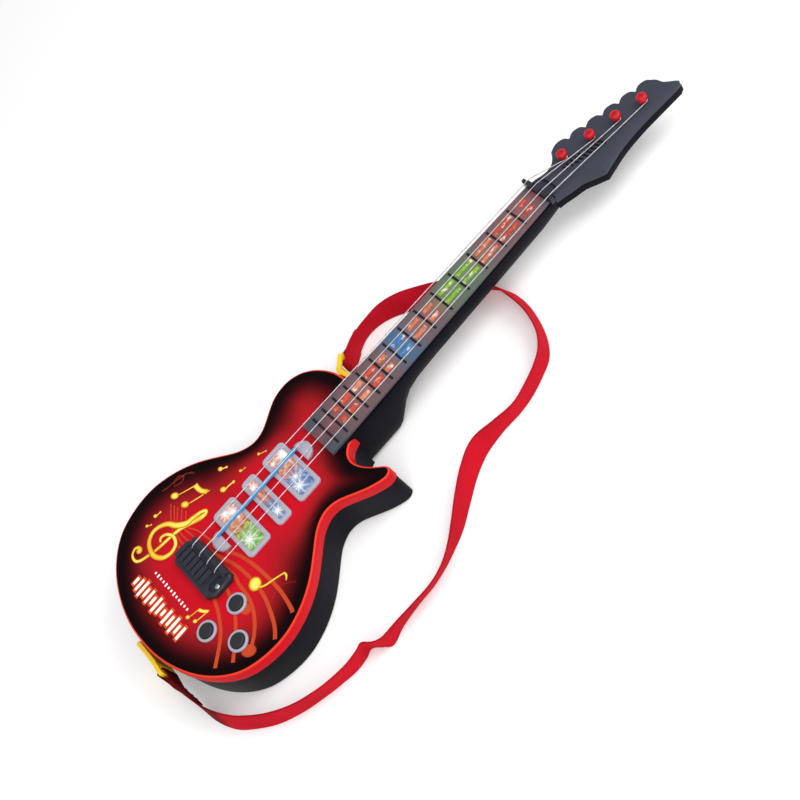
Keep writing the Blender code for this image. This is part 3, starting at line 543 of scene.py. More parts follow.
def body_outlines():
    """The body's outline, smoothed and as the CAD has it, both closed across the neck's notch."""
    whole = slice_loops("front_shell", OUTLINE_HEIGHT)[0]
    whole = [p for i, p in enumerate(whole) if (Vector(p) - Vector(whole[i - 1])).length > 0.3]
    across = [p for p in whole if abs(p[0]) < NOTCH_HALF and abs(p[1] - NECK_END) < 0.5]
    smooth, rough = [[p for p in loop if p not in across] for loop in (smoothed(whole), whole)]
    return smooth, rough


def block(name, low, high, material):
    """A plain box, for cutting."""
    return stack(name, rounded(low[:2], high[:2], 0.05, 1), [(low[2], 0), (high[2], 0)], material)


def hollow_out(name, rough, levels, material):
    """The inside of a shell, which leaves a wall round the neck's notch."""
    hollow = stack(name, rough, levels, material)
    wall = (-NECK_NOTCH - WALL, NECK_END - WALL, -5), (NECK_NOTCH + WALL, 170, 50)
    return cut(hollow, block("wall", *wall, material))


def notch(material):
    """Cuts the notch that holds the neck."""
    return block("notch", (-NECK_NOTCH, NECK_END, -5), (NECK_NOTCH, 170, 50), material)


def make_front_shell(outline, rough):
    """Red moulding with its rounded rim, and the printed film on its face."""
    rim = [(SEAM, 0.3), (SEAM + 0.3, 0), (35.4, 0), (36.1, 0.08), (36.7, 0.22), (37.2, 0.45), (37.6, 0.8),
           (37.88, 1.2), (FACE, 1.6)]
    red = rim_material()
    shell = stack("front_shell_fine", outline, rim, red)
    hollow = hollow_out("hollow", rough, [(SEAM - 5, WALL), (FACE - WALL, WALL)], red)
    cut(shell, hollow, *face_holes(red), notch(red))
    stand_for(settle(shell, 32.0), "front_shell")
    make_print(outline)


def make_back_shell(outline, rough, satin):
    """Black tub with its battery opening, speaker grille, switch slot and screw wells."""
    inside = BACK_INSET + WALL
    under, over = -2, 3  # cutters pass through the bottom between these heights
    edge = [(0, 2.7), (0.25, 2.0), (0.7, 1.4), (1.3, 0.95), (2.2, BACK_INSET), (SEAM - 0.3, BACK_INSET)]
    shell = stack("back_shell_fine", outline, edge, satin)
    hollow = hollow_out("hollow", rough, [(WALL, inside), (SEAM + 5, inside)], satin)
    way = block("way", (-12.4, NECK_END - 5, 7.7), (12.4, NECK_END + 5, 25.4), satin)
    tools = [hollow, notch(satin), way]
    low, high = box_mm("battery_cover")
    bay = (low.x - 0.4, low.y - 0.4, under), (high.x + 0.4, high.y + 0.4, over)
    tools.append(block("bay", *bay, satin))
    low, high = box_mm("speaker")
    centre = (low + high) / 2
    for bar in range(-3, 4):
        shift = bar * GRILLE_PITCH
        y, half = centre.y + shift, math.sqrt(GRILLE_REACH**2 - shift**2)
        ends = rounded((centre.x - half, y - 1.2), (centre.x + half, y + 1.2), 1.15, 5)
        tools.append(stack("slot", ends, [(under, 0), (over, 0)], satin))
    low, high = box_mm("power_switch_knob")
    travel = JOINTS["slide_power_switch"]["range_m"][1] / MM
    slide = (low.x - 0.5, low.y - 0.5, under), (high.x + 0.5, high.y + 0.5 + travel, over)
    tools.append(block("slide", *slide, satin))
    tools += [drill("well", spot, 3.6, under, 2.6, satin) for spot in CASE_SCREWS]
    cut(shell, *tools)
    profile = [(5.0, 1.0), (5.0, 14.0), (3.5, 14.0), (3.5, 1.0)]
    wells = [turned("well_wall", profile, (x, y, 0), satin, 32, closed=True) for x, y in CASE_SCREWS]
    cut(shell, *wells, operation="UNION")
    stand_for(settle(shell, 32.0), "back_shell")


def make_print(outline):
    """The printed film. Its mesh carries how far each point is from the rim, for the dark shade there."""
    film = print_material()
    levels = [(FACE - 0.02, 0), (FACE + PRINT_TOP, 0)]
    sheet = stack("face_print", inset(outline, PRINT_MARGIN), levels, film)
    cut(sheet, *face_holes(film), notch(film))
    work = bmesh.new()
    work.from_mesh(sheet.data)
    low, high = box_mm("front_shell")
    for axis, start, end in ((0, low.x, high.x), (1, low.y, high.y)):
        at = start + PRINT_CELL / 2
        while at < end:
            everything = [*work.verts, *work.edges, *work.faces]
            bmesh.ops.bisect_plane(work, geom=everything, **upright_plane(axis, at))
            at += PRINT_CELL
    bmesh.ops.triangulate(work, faces=[face for face in work.faces if len(face.verts) > 4])
    work.to_mesh(sheet.data)
    work.free()
    store(sheet.data, "rim", [rim_gap(to_design(vertex.co), outline) for vertex in sheet.data.vertices])
    belongs(sheet)


def rim_gap(point, outline):
    """How far a design point is from the rim, in millimetres. The rim skips the neck's notch."""
    gap = 60.0
    for i, end in enumerate(outline):
        start = outline[i - 1]
        across = abs(start[0]) < NOTCH_HALF and abs(end[0]) < NOTCH_HALF and end[1] > NOTCH_START
        if not across and abs(start[0] - point.x) < gap + 4 and abs(start[1] - point.y) < gap + 4:
            gap = min(gap, gap_to(point.xy, start, end))
    return gap


def rim_material():
    """Glossy red moulding, a little more orange where the light rolls over its edge."""
    shader = Shader("red_plastic", Roughness=0.34, Specular_IOR_Level=0.08)
    height = shader.scaled(shader.axis("Z"), (FACE - 1.3) * MM, (FACE - 0.2) * MM, smooth=True)
    mottle = shader.scaled(shader.noise(30.0, 3.0), 0.3, 0.7, 0.0, 0.35)
    red = shader.mix(mottle, srgb(208, 18, 32), srgb(190, 12, 26))
    shader.set(Base_Color=shader.mix(height, red, srgb(226, 62, 36)))
    shader.bump(shader.noise(1500.0, 2.0), 0.03, 0.0002)
    return shader.material


def print_material():
    """Sunburst print: red middle, through dark red, to nearly black at the rim."""
    shader = Shader("face_print", Roughness=0.25, Specular_IOR_Level=0.06)
    drift = shader.scaled(shader.noise(14.0, 3.0), 0.3, 0.7, -1.6, 1.6)
    waist = shader.math("ABSOLUTE", shader.minus(shader.axis("Y"), place(0, WAIST).y))
    narrow = shader.scaled(waist, 0.0, 38 * MM, 2.1, 1.0, smooth=True)
    gap = shader.plus(shader.times(shader.attribute("rim"), narrow), drift)
    share = shader.scaled(gap, 2.0, 50.0)
    stops = shades(
        (0.0, 10, 1, 3), (0.085, 14, 2, 4), (0.125, 23, 2, 5), (0.17, 38, 3, 7), (0.23, 62, 5, 10),
        (0.29, 84, 9, 14), (0.36, 110, 15, 20), (0.48, 146, 22, 28), (0.6, 168, 22, 32),
        (0.78, 188, 18, 33), (1.0, 198, 16, 33),
    )
    shader.set(Base_Color=shader.ramp(share, stops))
    shader.bump(shader.noise(900.0, 2.0), 0.02, 0.0002)
    return shader.material


# Artwork on the face

ART, OVER = FACE + PRINT_TOP + 0.03, 0.1  # height of the artwork, and how far the top print lies over it
STAFF = [
    [(-64.5, 7.5), (-52, -1.5), (-32.5, -9), (7.5, -10.5),
     (24, -15), (38.5, -21), (50.5, -29.5), (63.5, -45)],
    [(-61, 8.5), (-49, 0), (-32, -5.5), (14.5, -2.5),
     (30.5, -5), (45.5, -11), (56.5, -19), (71.5, -33.5)],
    [(-57.5, 9.5), (-46.5, 1), (-31, -1.5), (17, 6), (31.5, 4.5),
     (46, 3), (58.5, -2), (69.5, -11), (77, -22)],
    [(-53.5, 11), (-43, 3), (-28.5, 3.5), (-1.5, 6.5), (19.5, 12),
     (40, 13), (56.5, 11), (75.5, 4), (84.5, -2.5)],
    [(-49, 12), (-39, 5), (-26.5, 9), (0, 12.5), (16, 18.5),
     (35.5, 21.5), (59.5, 22), (76.5, 19.5), (80.5, 18)],
]
CLEF = [
    (-56.5, -31.5, 2.6), (-59.5, -31, 1.5), (-61, -34, 1.1), (-58.5, -38, 1.1), (-53.5, -39, 1.1),
    (-50, -36.5, 1.2), (-47.5, -30, 1.3), (-45, -21, 1.3), (-43.5, -9.5, 1.3), (-41.5, 0.5, 1.5),
    (-38.5, 8, 2.1), (-35, 14.5, 2.1), (-33.5, 20, 1.7), (-35, 22.5, 1.4), (-37.5, 19.5, 1.4),
    (-39.5, 12.5, 1.7), (-41, 6, 2.1), (-46.5, 0, 2.3), (-53.5, -4, 2.1), (-58, -10.5, 1.8),
    (-58.5, -17, 1.7), (-54, -23.5, 1.9), (-44, -26.5, 2.1), (-36, -23, 2), (-33, -16, 1.6),
    (-35, -9.5, 1.4), (-41.5, -7, 1.3), (-47.5, -9.5, 1.3), (-49.5, -14, 1.2), (-47, -16.5, 0.9),
]
LITTLE_NOTES = [  # x, y and size of each head, and where its stem ends
    (-36.3, 41.6, 2.9, -33.9, 50.6), (-51.3, 50.4, 2.2, -48.1, 54.5), (-35.9, 59.8, 1.6, -34.6, 63.4),
    (-33.7, 77.2, 1.5, -30.6, 82.4), (-67.7, -6.8, 1.9, -66.5, -2.2), (-67.2, -16.1, 1.6, -64.9, -13.2),
]
LEVELS = [0.45, 0.75, 1.0, 0.6, 0.85, 0.5, 0.95, 0.7, 0.4, 0.9, 0.65, 1.0, 0.55, 0.8]


def across_stroke(reach, core=1.0):
    """Places across a stroke, and how near its core each one is."""
    return ((-1.0, 0.0), (-reach, core), (0.0, 1.0), (reach, core), (1.0, 0.0))


EDGES, STAFF_EDGES, FIRM_EDGES = across_stroke(0.6, 0.75), across_stroke(0.7), across_stroke(0.8)


class Ink:
    """Gathers printed strokes and dots into one thin film. Each point knows how near the core it is."""

    def __init__(self, lift=0.0):
        self.points, self.faces, self.core = [], [], []
        self.level = lift

    def stroke(self, path, widths, steps=6, soft=EDGES):
        """A band along a smooth path, with half widths given at the path's points."""
        self.level += 0.004
        widths = [widths] * len(path) if isinstance(widths, (int, float)) else widths
        line = smooth_run([(x, y, w) for (x, y), w in zip(path, widths)], steps)
        start = len(self.points)
        for i, (x, y, width) in enumerate(line):
            ahead, behind = line[min(i + 1, len(line) - 1)], line[max(i - 1, 0)]
            along = Vector((ahead[0] - behind[0], ahead[1] - behind[1]))
            along = along.normalized() if along.length > 1e-9 else Vector((1, 0))
            for share, core in soft:
                spot = Vector((x, y)) + Vector((-along.y, along.x)) * share * width
                self.points.append((spot.x, spot.y, ART + self.level + 0.0012 * i))
                self.core.append(core)
        across = len(soft)
        for i in range(len(line) - 1):
            for j in range(across - 1):
                a = start + i * across + j
                self.faces.append((a, a + 1, a + across + 1, a + across))

    def dot(self, x, y, long, wide=None, turn=0.0, inner=1.0):
        """A round or oval dot, with a soft edge."""
        self.level += 0.004
        wide = long if wide is None else wide
        start, sides = len(self.points), 28
        self.points.append((x, y, ART + self.level))
        self.core.append(inner)
        for share, core in ((0.45, 0.95 * inner), (0.78, 0.6 * inner), (1.0, 0.0)):
            for i in range(sides):
                angle = math.tau * i / sides
                a, b = long * share * math.cos(angle), wide * share * math.sin(angle)
                c, s = math.cos(math.radians(turn)), math.sin(math.radians(turn))
                self.points.append((x + a * c - b * s, y + a * s + b * c, ART + self.level))
                self.core.append(core)
        for i in range(sides):
            j = (i + 1) % sides
            self.faces.append((start, start + 1 + i, start + 1 + j))
            for ring in range(2):
                a = start + 1 + ring * sides
                self.faces.append((a + i, a + sides + i, a + sides + j, a + j))

    def make(self, name, material):
        """The printed piece, a film with a little thickness."""
        mesh = bpy.data.meshes.new(name)
        mesh.from_pydata([place(*point) for point in self.points], [], self.faces)
        store(mesh, "core", self.core)
        mesh.materials.append(material)
        work = bmesh.new()
        work.from_mesh(mesh)
        for face in work.faces:
            face.normal_update()
            if face.normal.z < 0:
                face.normal_flip()
        work.to_mesh(mesh)
        work.free()
        piece = put(name, mesh)
        solid = piece.modifiers.new("Solidify", "SOLIDIFY")
        solid.thickness, solid.offset = 0.02 * MM, -1.0
        settle(piece)
        return belongs(piece)


def gold_material():
    """Printed gold: pale in the middle of each stroke, through yellow, to burnt orange at its edge."""
    shader = Shader("print_gold", Roughness=0.26, Specular_IOR_Level=0.25)
    core = shader.plus(shader.attribute("core"), shader.scaled(shader.noise(70.0), 0.3, 0.7, -0.16, 0.16))
    stops = shades((0.0, 140, 44, 10), (0.25, 184, 96, 14), (0.5, 210, 144, 22), (0.78, 230, 184, 40),
                   (0.98, 248, 226, 104))
    colour = shader.ramp(core, stops)
    # The faint emission is painted light: the print glows a little though it is no lamp
    shader.set(Base_Color=colour, Emission_Color=colour, Emission_Strength=0.04)
    return shader.material


def tint_material(name, colour, strength, glow=0.0):
    """A see-through printed tint, which fades at the edge of each stroke."""
    shader = Shader(name, Roughness=0.26, Specular_IOR_Level=0.2)
    core = shader.scaled(shader.attribute("core"), 0.0, 0.75, smooth=True)
    worn = shader.scaled(shader.noise(60.0), 0.2, 0.8, 0.8, 1.0)
    alpha = shader.times(shader.times(core, worn), strength)
    shader.set(Alpha=alpha, Base_Color=shader.mix(worn, tuple(0.8 * v for v in colour), colour))
    # The emission, at the strength given in glow, is painted light: the print shines though it is no lamp
    shader.set(Emission_Color=colour, Emission_Strength=glow)
    return shader.material


def make_artwork():
    """Staff lines, a clef, notes, and a row of level bars, all generic signs of music."""
    lines = Ink()
    for path in STAFF:
        widths = [0.5, 0.55, 0.7] + [1.35 + 0.08 * i for i in range(len(path) - 3)]
        lines.stroke(path, widths, soft=STAFF_EDGES)
    lines.dot(49.6, -3.4, 5.4, 4.4, 20)
    lines.dot(74.6, -20.4, 6.6, 5.0, 40)
    lines.stroke([(46.0, 1.2), (41.6, 3.4), (33.0, 5.4)], [1.2, 0.9, 0.5])
    lines.make("print_staff", tint_material("print_staff", srgb(228, 84, 44), 0.6))

    faint = Ink()
    tendril = [(-79.0, 9.0), (-77.4, 14.0), (-76.6, 19.6), (-74.8, 25.0), (-72.6, 31.0), (-67.6, 35.2)]
    faint.stroke(tendril, 0.7)
    faint.stroke([(-73.6, 17.6), (-71.0, 23.4), (-73.4, 27.6), (-77.0, 24.4), (-75.6, 18.8)], 0.7)
    faint.stroke([(30.2, 23.3), (31.9, 12.6), (35.0, 6.0)], 0.35)
    faint.stroke([(62.0, 9.6), (58.2, 24.0), (66.0, 34.0)], 0.35)
    faint.make("print_faint", tint_material("print_faint", srgb(190, 62, 40), 0.2))

    gold = Ink(OVER)
    gold.stroke([(x, y) for x, y, _ in CLEF], [1.15 * w for _, _, w in CLEF], 8)
    gold.dot(-57.0, -31.9, 2.9)
    gold.stroke([(-65.2, 14.6), (-61.6, 22.6), (-58.0, 30.8)], 0.55)
    gold.stroke([(-52.2, 15.8), (-48.6, 25.0), (-45.4, 34.4)], 0.55)
    gold.stroke([(-59.2, 29.4), (-54.6, 29.2), (-50.4, 30.0), (-46.2, 32.4)], [2.3, 2.2, 2.2, 2.3])
    gold.dot(-66.8, 13.4, 3.9, 2.9, 35)
    gold.dot(-53.8, 14.6, 3.9, 2.9, 35)
    gold.stroke([(18.2, -35.4), (19.2, -31.0), (20.2, -26.6)], 0.45)
    gold.stroke([(25.2, -33.4), (26.2, -28.0), (27.2, -22.4)], 0.45)
    gold.stroke([(20.0, -27.6), (23.4, -26.2), (27.0, -23.6)], [1.5, 1.3, 1.5])
    gold.dot(17.2, -36.6, 2.1, 1.6, 35)
    gold.dot(24.3, -34.6, 2.1, 1.6, 35)
    gold.dot(41.6, 12.6, 5.8, 5.4, inner=1.25)
    gold.stroke([(45.0, 12.6), (48.4, 16.4), (51.0, 24.4), (53.8, 32.4)], [0.9, 0.9, 0.8, 0.7])
    gold.stroke([(53.6, 32.2), (56.4, 32.0), (59.2, 29.6)], [0.8, 1.0, 0.5])
    for x, y, size, tip_x, tip_y in LITTLE_NOTES:
        gold.dot(x, y, size, size * 0.85, 30)
        foot, bend = (x + size * 0.5, y + size * 0.4), ((x + tip_x) / 2 + 0.3, (y + tip_y) / 2)
        gold.stroke([foot, bend, (tip_x, tip_y)], size * 0.26)
        gold.dot(tip_x, tip_y, size * 0.5)
    gold.make("print_gold", gold_material())
    make_level_bars()


def make_level_bars():
    """White level bars on a glow, over a finer dotted row."""
    bars, glow = Ink(OVER), Ink()
    for i, level in enumerate(LEVELS):
        x, middle, reach = -39.8 + 4.75 * i, -47.6, 6.4 * level
        for ink, width, extra, soft in ((glow, 2.5, 1.6, EDGES), (bars, 1.25, 0.0, FIRM_EDGES)):
            low, high = middle - reach - extra, middle + reach + extra
            ink.stroke([(x, low), (x, middle), (x, high)], [width * 0.9, width, width * 0.9], 3, soft)
    for i in range(13):
        x, size = -31.0 + 3.6 * i, 0.9 + 0.5 * (i % 3 == 1)
        bars.stroke([(x, -33.4 - size), (x, -33.4), (x, -33.4 + size)], 0.75, 3, FIRM_EDGES)
    # Both prints shine by painted light: their emission stands for a glow, though they are no lamps
    glow.make("print_glow", tint_material("print_glow", srgb(226, 84, 30), 0.85, 0.15))
    bars.make("print_bars", tint_material("print_bars", srgb(252, 248, 242), 1.0, 0.25))


# Light windows


def lens_material(name, stars, left, right, split):
    """A lit window: cells of one colour on the left and another on the right, with a star at each lamp."""
    shader = Shader(name, Roughness=0.2, Specular_IOR_Level=0.12)
    x = shader.times(shader.axis("X"), 1 / MM)
    y = shader.minus(shader.times(shader.axis("Y"), 1 / MM), BRIDGE_Y)
    cells = shader.node("TexVoronoi", {"Vector": shader.place(), "Scale": 640.0, "Randomness": 0.7},
                        distance="CHEBYCHEV")
    pick = shader.axis("X", cells.outputs["Color"])
    edge = shader.scaled(cells.outputs["Distance"], 0.15, 0.6, 0.0, 1.0)
    blend = shader.scaled(shader.plus(x, shader.scaled(pick, 0, 1, -5, 5)), split - 3, split + 4)
    colour = shader.mix(blend, shader.ramp(pick, left), shader.ramp(pick, right))
    colour = shader.mix(shader.times(edge, 0.1), colour, srgb(250, 226, 214))
    glow = 0.0
    for centre_x, centre_y, size in stars:
        glow = shader.plus(glow, star(shader, x, y, centre_x, centre_y, size))
    glow = shader.math("MINIMUM", glow, 1.0)
    colour = shader.mix(glow, colour, (1.0, 1.0, 1.0))
    shader.set(Base_Color=shader.mix(0.72, colour, (0.0, 0.0, 0.0)))
    shader.set(Emission_Color=colour, Emission_Strength=0.74)
    return shader.material


def star(shader, x, y, centre_x, centre_y, size):
    """The glare of a lamp behind a lens: a round core with eight rays."""
    dx, dy = shader.minus(x, centre_x), shader.minus(y, centre_y)
    away = shader.math("SQRT", shader.plus(shader.times(dx, dx), shader.times(dy, dy)))
    angle = shader.math("ARCTAN2", dy, dx)
    wave = shader.math("COSINE", shader.times(angle, 4.0))
    ray = shader.math("POWER", shader.math("ABSOLUTE", wave), 14.0)
    core = shader.math("EXPONENT", shader.times(away, -1.35 / size))
    long = shader.times(ray, shader.math("EXPONENT", shader.times(away, -0.42 / size)))
    return shader.plus(shader.times(core, 1.35), shader.times(long, 0.8))


ORANGE_CELLS = shades((0.0, 168, 66, 20), (0.4, 200, 84, 30), (0.8, 216, 116, 54), (1.0, 226, 160, 104))
BLUE_CELLS = shades((0.0, 10, 70, 136), (0.4, 18, 98, 166), (0.8, 44, 118, 180), (1.0, 104, 168, 214))
GREEN_CELLS = shades((0.0, 56, 134, 16), (0.4, 84, 166, 26), (0.8, 120, 190, 44), (1.0, 168, 216, 84))
STARS = {  # x, y and size of each lamp's glare
    "upper": [(-17.6, 88.8, 3.2), (-12.5, 89.5, 3.0), (-16.4, 79.0, 1.4), (13.9, 81.0, 3.2),
              (5.8, 84.0, 1.9)],
    "middle": [(-15.9, 57.6, 3.0), (14.3, 58.6, 3.0)],
    "lower": [(-19.0, 30.4, 2.6), (-15.3, 35.8, 3.0), (-8.0, 36.6, 1.0), (12.9, 30.8, 3.4)],
}
BEZEL_TOP, LENS_TOP = 40.2, 39.0
LENS_CELL, LENS_RISE = 2.6, 0.3  # the pyramids on a lens


def make_windows():
    """Grey frames, and lenses with faceted tops over the lamps."""
    frame_grey = moulded("bezel_grey", srgb(170, 166, 180), 0.36, 0.08, 0.05, 0.15)
    for name, (low, high) in WINDOWS.items():
        outer = rounded(*seen_from_above(low, high), 3.6, 12)
        inner = rounded(*seen_from_above(low, high, -BEZEL_BORDER), 2.6, 12)
        levels = [(FACE + 0.1, outer), (BEZEL_TOP - 0.7, outer), (BEZEL_TOP - 0.35, inset(outer, 0.18)),
                  (BEZEL_TOP - 0.1, inset(outer, 0.5)), (BEZEL_TOP, inset(outer, 1.0)),
                  (BEZEL_TOP, inset(outer, 2.5)), (BEZEL_TOP - 0.1, inset(outer, 2.9)),
                  (BEZEL_TOP - 0.4, inner), (FACE + 0.1, inner)]
        rings = [[(x, y, z) for x, y in ring] for z, ring in levels]
        stand_for(loft(f"bezel_{name}", rings, frame_grey, closed=True), f"window_bezel_{name}")
        right, split = (GREEN_CELLS, 1.0) if name == "lower" else (BLUE_CELLS, 0.5)
        material = lens_material(f"lens_{name}", STARS[name], ORANGE_CELLS, right, split)
        stand_for(make_lens(f"lens_{name}", inset(inner, 0.12), material), f"window_lens_{name}")
    make_light_rod()
    for name in ("upper", "lower"):
        refine(f"rod_block_{name}", frame_grey, 0.45)


def make_light_rod():
    """Blue rod that glows faintly along its whole length."""
    blue = Shader("rod_blue", Roughness=0.36, Specular_IOR_Level=0.1)
    tint = blue.scaled(blue.noise(60.0), 0.3, 0.7)
    blue.set(Base_Color=blue.mix(tint, srgb(34, 140, 196), srgb(62, 168, 218)))
    blue.set(Emission_Color=srgb(40, 150, 205), Emission_Strength=0.22)
    low, high = box_mm("light_rod")
    radius = (high.x - low.x) / 2
    profile = [(0.5, low.y), (1.0, low.y + 0.05), (radius, low.y + 0.5), (radius, high.y - 0.5),
               (1.0, high.y - 0.05), (0.5, high.y)]
    centre = ((low.x + high.x) / 2, 0, (low.z + high.z) / 2)
    stand_for(turned("light_rod_fine", profile, centre, blue.material, 40, (0, 1, 0)), "light_rod")


def make_lens(name, outline, material):
    """A window lens whose top is a field of low pyramids."""
    levels = [(34.8, 0), (LENS_TOP - 0.3, 0), (LENS_TOP - 0.05, 0.12), (LENS_TOP, 0.5)]
    lens = stack(name, outline, levels, material)
    work = bmesh.new()
    work.from_mesh(lens.data)
    lowest = (LENS_TOP - 0.02) * MM
    top = [face for face in work.faces if face.calc_center_median().z > lowest and abs(face.normal.z) > 0.9]
    xs, ys = [p[0] for p in outline], [p[1] for p in outline]
    for axis, low, high in ((0, min(xs), max(xs)), (1, min(ys), max(ys))):
        count = round((high - low) / LENS_CELL)
        for line in range(1, count):
            at = low + (high - low) * line / count
            geometry = {item for face in top for item in (face, *face.edges, *face.verts)}
            found = bmesh.ops.bisect_plane(work, geom=list(geometry), **upright_plane(axis, at))
            top = [item for item in found["geom"] if isinstance(item, bmesh.types.BMFace)]
    poked = bmesh.ops.poke(work, faces=top, offset=LENS_RISE * MM)
    for vertex in poked["verts"]:
        vertex.co.z = (LENS_TOP + LENS_RISE) * MM
    work.to_mesh(lens.data)
    work.free()
    lens.data.shade_smooth()
    lens.data.set_sharp_from_angle(angle=math.radians(8))
    return lens


# Neck

BOARD_TOP = 41.0
BOARD_HALVES = (BOARD_HIGH.x, 12.2)  # half its width at the bridge end and at the nut end
# Lit spaces, from the nut down: the part of the space that is lit, and its light's colour
LIGHTS = [
    (0.35, 0.7, "red"), (0.05, 0.93, "red"), (0.05, 0.93, "peach"), (0.05, 0.92, "green"),
    (0.05, 0.92, "green"), (0.3, 0.85, "peach"), (0.1, 0.85, "peach"), (0.05, 0.9, "blue"),
    (0.3, 0.9, "peach"), (0.1, 0.9, "red"), (0.12, 0.92, "white"), (0.1, 0.9, "red"),
    (0.15, 0.62, "red"),
]
GLOWS = {"red": srgb(226, 84, 56), "peach": srgb(230, 128, 92), "green": srgb(140, 196, 60),
         "blue": srgb(70, 140, 206), "white": srgb(238, 150, 116)}
TINTS = {"red": srgb(112, 74, 72), "peach": srgb(106, 80, 78), "green": srgb(86, 108, 78),
         "blue": srgb(44, 102, 140), "white": srgb(112, 80, 76)}
# A lit pane's rings: how far over the board, how far inside its outline, and how near its core
PANE_RINGS = ((-0.2, 0.0, 0.0), (0.04, 0.0, 0.0), (0.16, 0.3, 0.0), (0.18, 1.2, 1.0))


def fret_lines():
    """Where the frets lie: each space is a little shorter than the one before it."""
    lines, y = [], NUT
    for fret in range(FRET_COUNT):
        y -= FIRST_FRET_SPACE - FRET_STEP * fret
        lines.append(y)
    return lines


def board_half(y):
    """Half the fretboard's width at a distance from the bridge line."""
    low_half, high_half = BOARD_HALVES
    return low_half + (high_half - low_half) * (y - BOARD_LOW.y) / (BOARD_HIGH.y - BOARD_LOW.y)


def board_material():
    """Smoky plastic, tinted by the lamps that shine under it, and brightest down its middle."""
    shader = Shader("smoky_plastic", Roughness=0.3, Specular_IOR_Level=0.3)
    lines = [NUT, *fret_lines()]
    share = shader.scaled(shader.axis("Y"), place(0, lines[-1]).y, place(0, NUT).y)
    stops = [(0.0, srgb(54, 57, 66))]
    for (high, low, (_, _, colour)) in reversed(list(zip(lines, lines[1:], LIGHTS))):
        stops.append((((high + low) / 2 - lines[-1]) / (NUT - lines[-1]), TINTS[colour]))
    stops.append((1.0, srgb(62, 66, 76)))
    tint = shader.ramp(share, stops)
    lit = [(at, GLOWS[colour]) for (at, _), (_, _, colour) in zip(stops[1:], reversed(LIGHTS))]
    middle = shader.scaled(shader.math("ABSOLUTE", shader.axis("X")), 0.003, 0.0115, 0.42, 0.0, smooth=True)
    glow = shader.mix(middle, tint, shader.ramp(share, lit))
    side = shader.scaled(shader.math("ABSOLUTE", shader.axis("X")), 0.006, 0.016)
    worn = shader.scaled(shader.noise(120.0), 0.3, 0.7, 0.0, 0.35)
    base = shader.mix(shader.times(side, 0.75), tint, srgb(70, 73, 84))
    base = shader.mix(worn, base, srgb(84, 82, 90))
    shader.set(Base_Color=base, Emission_Color=glow, Emission_Strength=0.3)
    shader.bump(shader.noise(2200.0, 2.0), 0.03, 0.0002)
    return shader.material


def light_material():
    """The light of a fret's lamps: white specks in the colour carried by the mesh."""
    shader = Shader("fret_light", Roughness=0.22, Specular_IOR_Level=0.3)
    colour = shader.node("Attribute", attribute_name="glow").outputs["Color"]
    specks = shader.scaled(shader.noise(170.0, 2.0, 0.6), 0.52, 0.72, smooth=True)
    dim = shader.scaled(shader.noise(300.0, 2.0), 0.3, 0.6, 0.35, 0.0)
    lit = shader.mix(dim, colour, (0.02, 0.02, 0.03))
    lit = shader.mix(specks, lit, srgb(255, 240, 226))
    soft = shader.scaled(shader.attribute("core"), 0.0, 0.9, 0.62, 0.0, smooth=True)
    lit = shader.mix(soft, lit, srgb(66, 62, 68))
    shader.set(Base_Color=shader.mix(0.65, lit, (0.0, 0.0, 0.0)))
    shader.set(Emission_Color=lit, Emission_Strength=0.66)
    return shader.material


def make_fretboard():
    """Smoky cover with doubled fret ridges, and two rows of lit panes."""
    low_half, high_half = BOARD_HALVES
    ends = [(-low_half, BOARD_LOW.y), (low_half, BOARD_LOW.y),
            (high_half, BOARD_HIGH.y), (-high_half, BOARD_HIGH.y)]
    levels = [(BOARD_LOW.z, 0), (BOARD_TOP - 0.55, 0), (BOARD_TOP - 0.25, 0.08), (BOARD_TOP - 0.08, 0.25),
              (BOARD_TOP, 0.6)]
    stand_for(stack("fretboard", ends, levels, board_material()), "fretboard_cover")
    shape = [(-0.95, -0.3), (-0.85, 0.4), (-0.65, 0.62), (-0.42, 0.62), (-0.2, 0.2), (0.2, 0.2),
             (0.42, 0.62), (0.65, 0.62), (0.85, 0.4), (0.95, -0.3)]
    ridges = []
    for y in fret_lines():
        half = board_half(y) - 2.2
        stations = (-half, 0.4), (-half + 0.35, 1.0), (half - 0.35, 1.0), (half, 0.4)
        ridges.append([
            [(x, y + dy * (0.7 + 0.3 * squeeze), BOARD_TOP + dz * squeeze) for dy, dz in shape]
            for x, squeeze in stations
        ])
    ridge = moulded("fret_ridge", srgb(30, 32, 38), 0.38)
    belongs(join_rings("fret_ridges", ridges, ridge))
    make_fret_lights()


def make_fret_lights():
    """Two rows of lit panes, one in each lit space. Their mesh carries their colours and their cores."""
    bodies, cores = [], []
    lines = [NUT, *fret_lines()]
    for high, low, (start, end, _) in zip(lines, lines[1:], LIGHTS):
        y0, y1 = high - (high - low) * end, high - (high - low) * start
        down = (NUT - (y0 + y1) / 2) / (NUT - lines[-1])
        half = 1.9 + 0.9 * down
        for side, shift in ((-1, 0.0), (1, -1.2)):
            middle = side * (3.9 + 1.9 * down)
            rings = []
            for rise, slim, core in PANE_RINGS:
                low_xy = (middle - half + slim, y0 + shift + slim)
                high_xy = (middle + half - slim, y1 + shift - slim)
                ring = rounded(low_xy, high_xy, 0.7 - slim / 3, 3)
                rings.append([(x, y, BOARD_TOP + rise) for x, y in ring])
                cores += [core] * len(ring)
            bodies.append(rings)
    panes = join_rings("fret_lights", bodies, light_material(), outward=False)
    store(panes.data, "core", cores)
    colours = panes.data.attributes.new("glow", "FLOAT_COLOR", "POINT")
    for vertex, value in zip(panes.data.vertices, colours.data):
        where = to_design(vertex.co).y
        space = next(i for i, low in enumerate(lines[1:]) if where > low - 1.5)
        value.color = (*GLOWS[LIGHTS[min(space, len(LIGHTS) - 1)][2]], 1.0)
    belongs(panes)


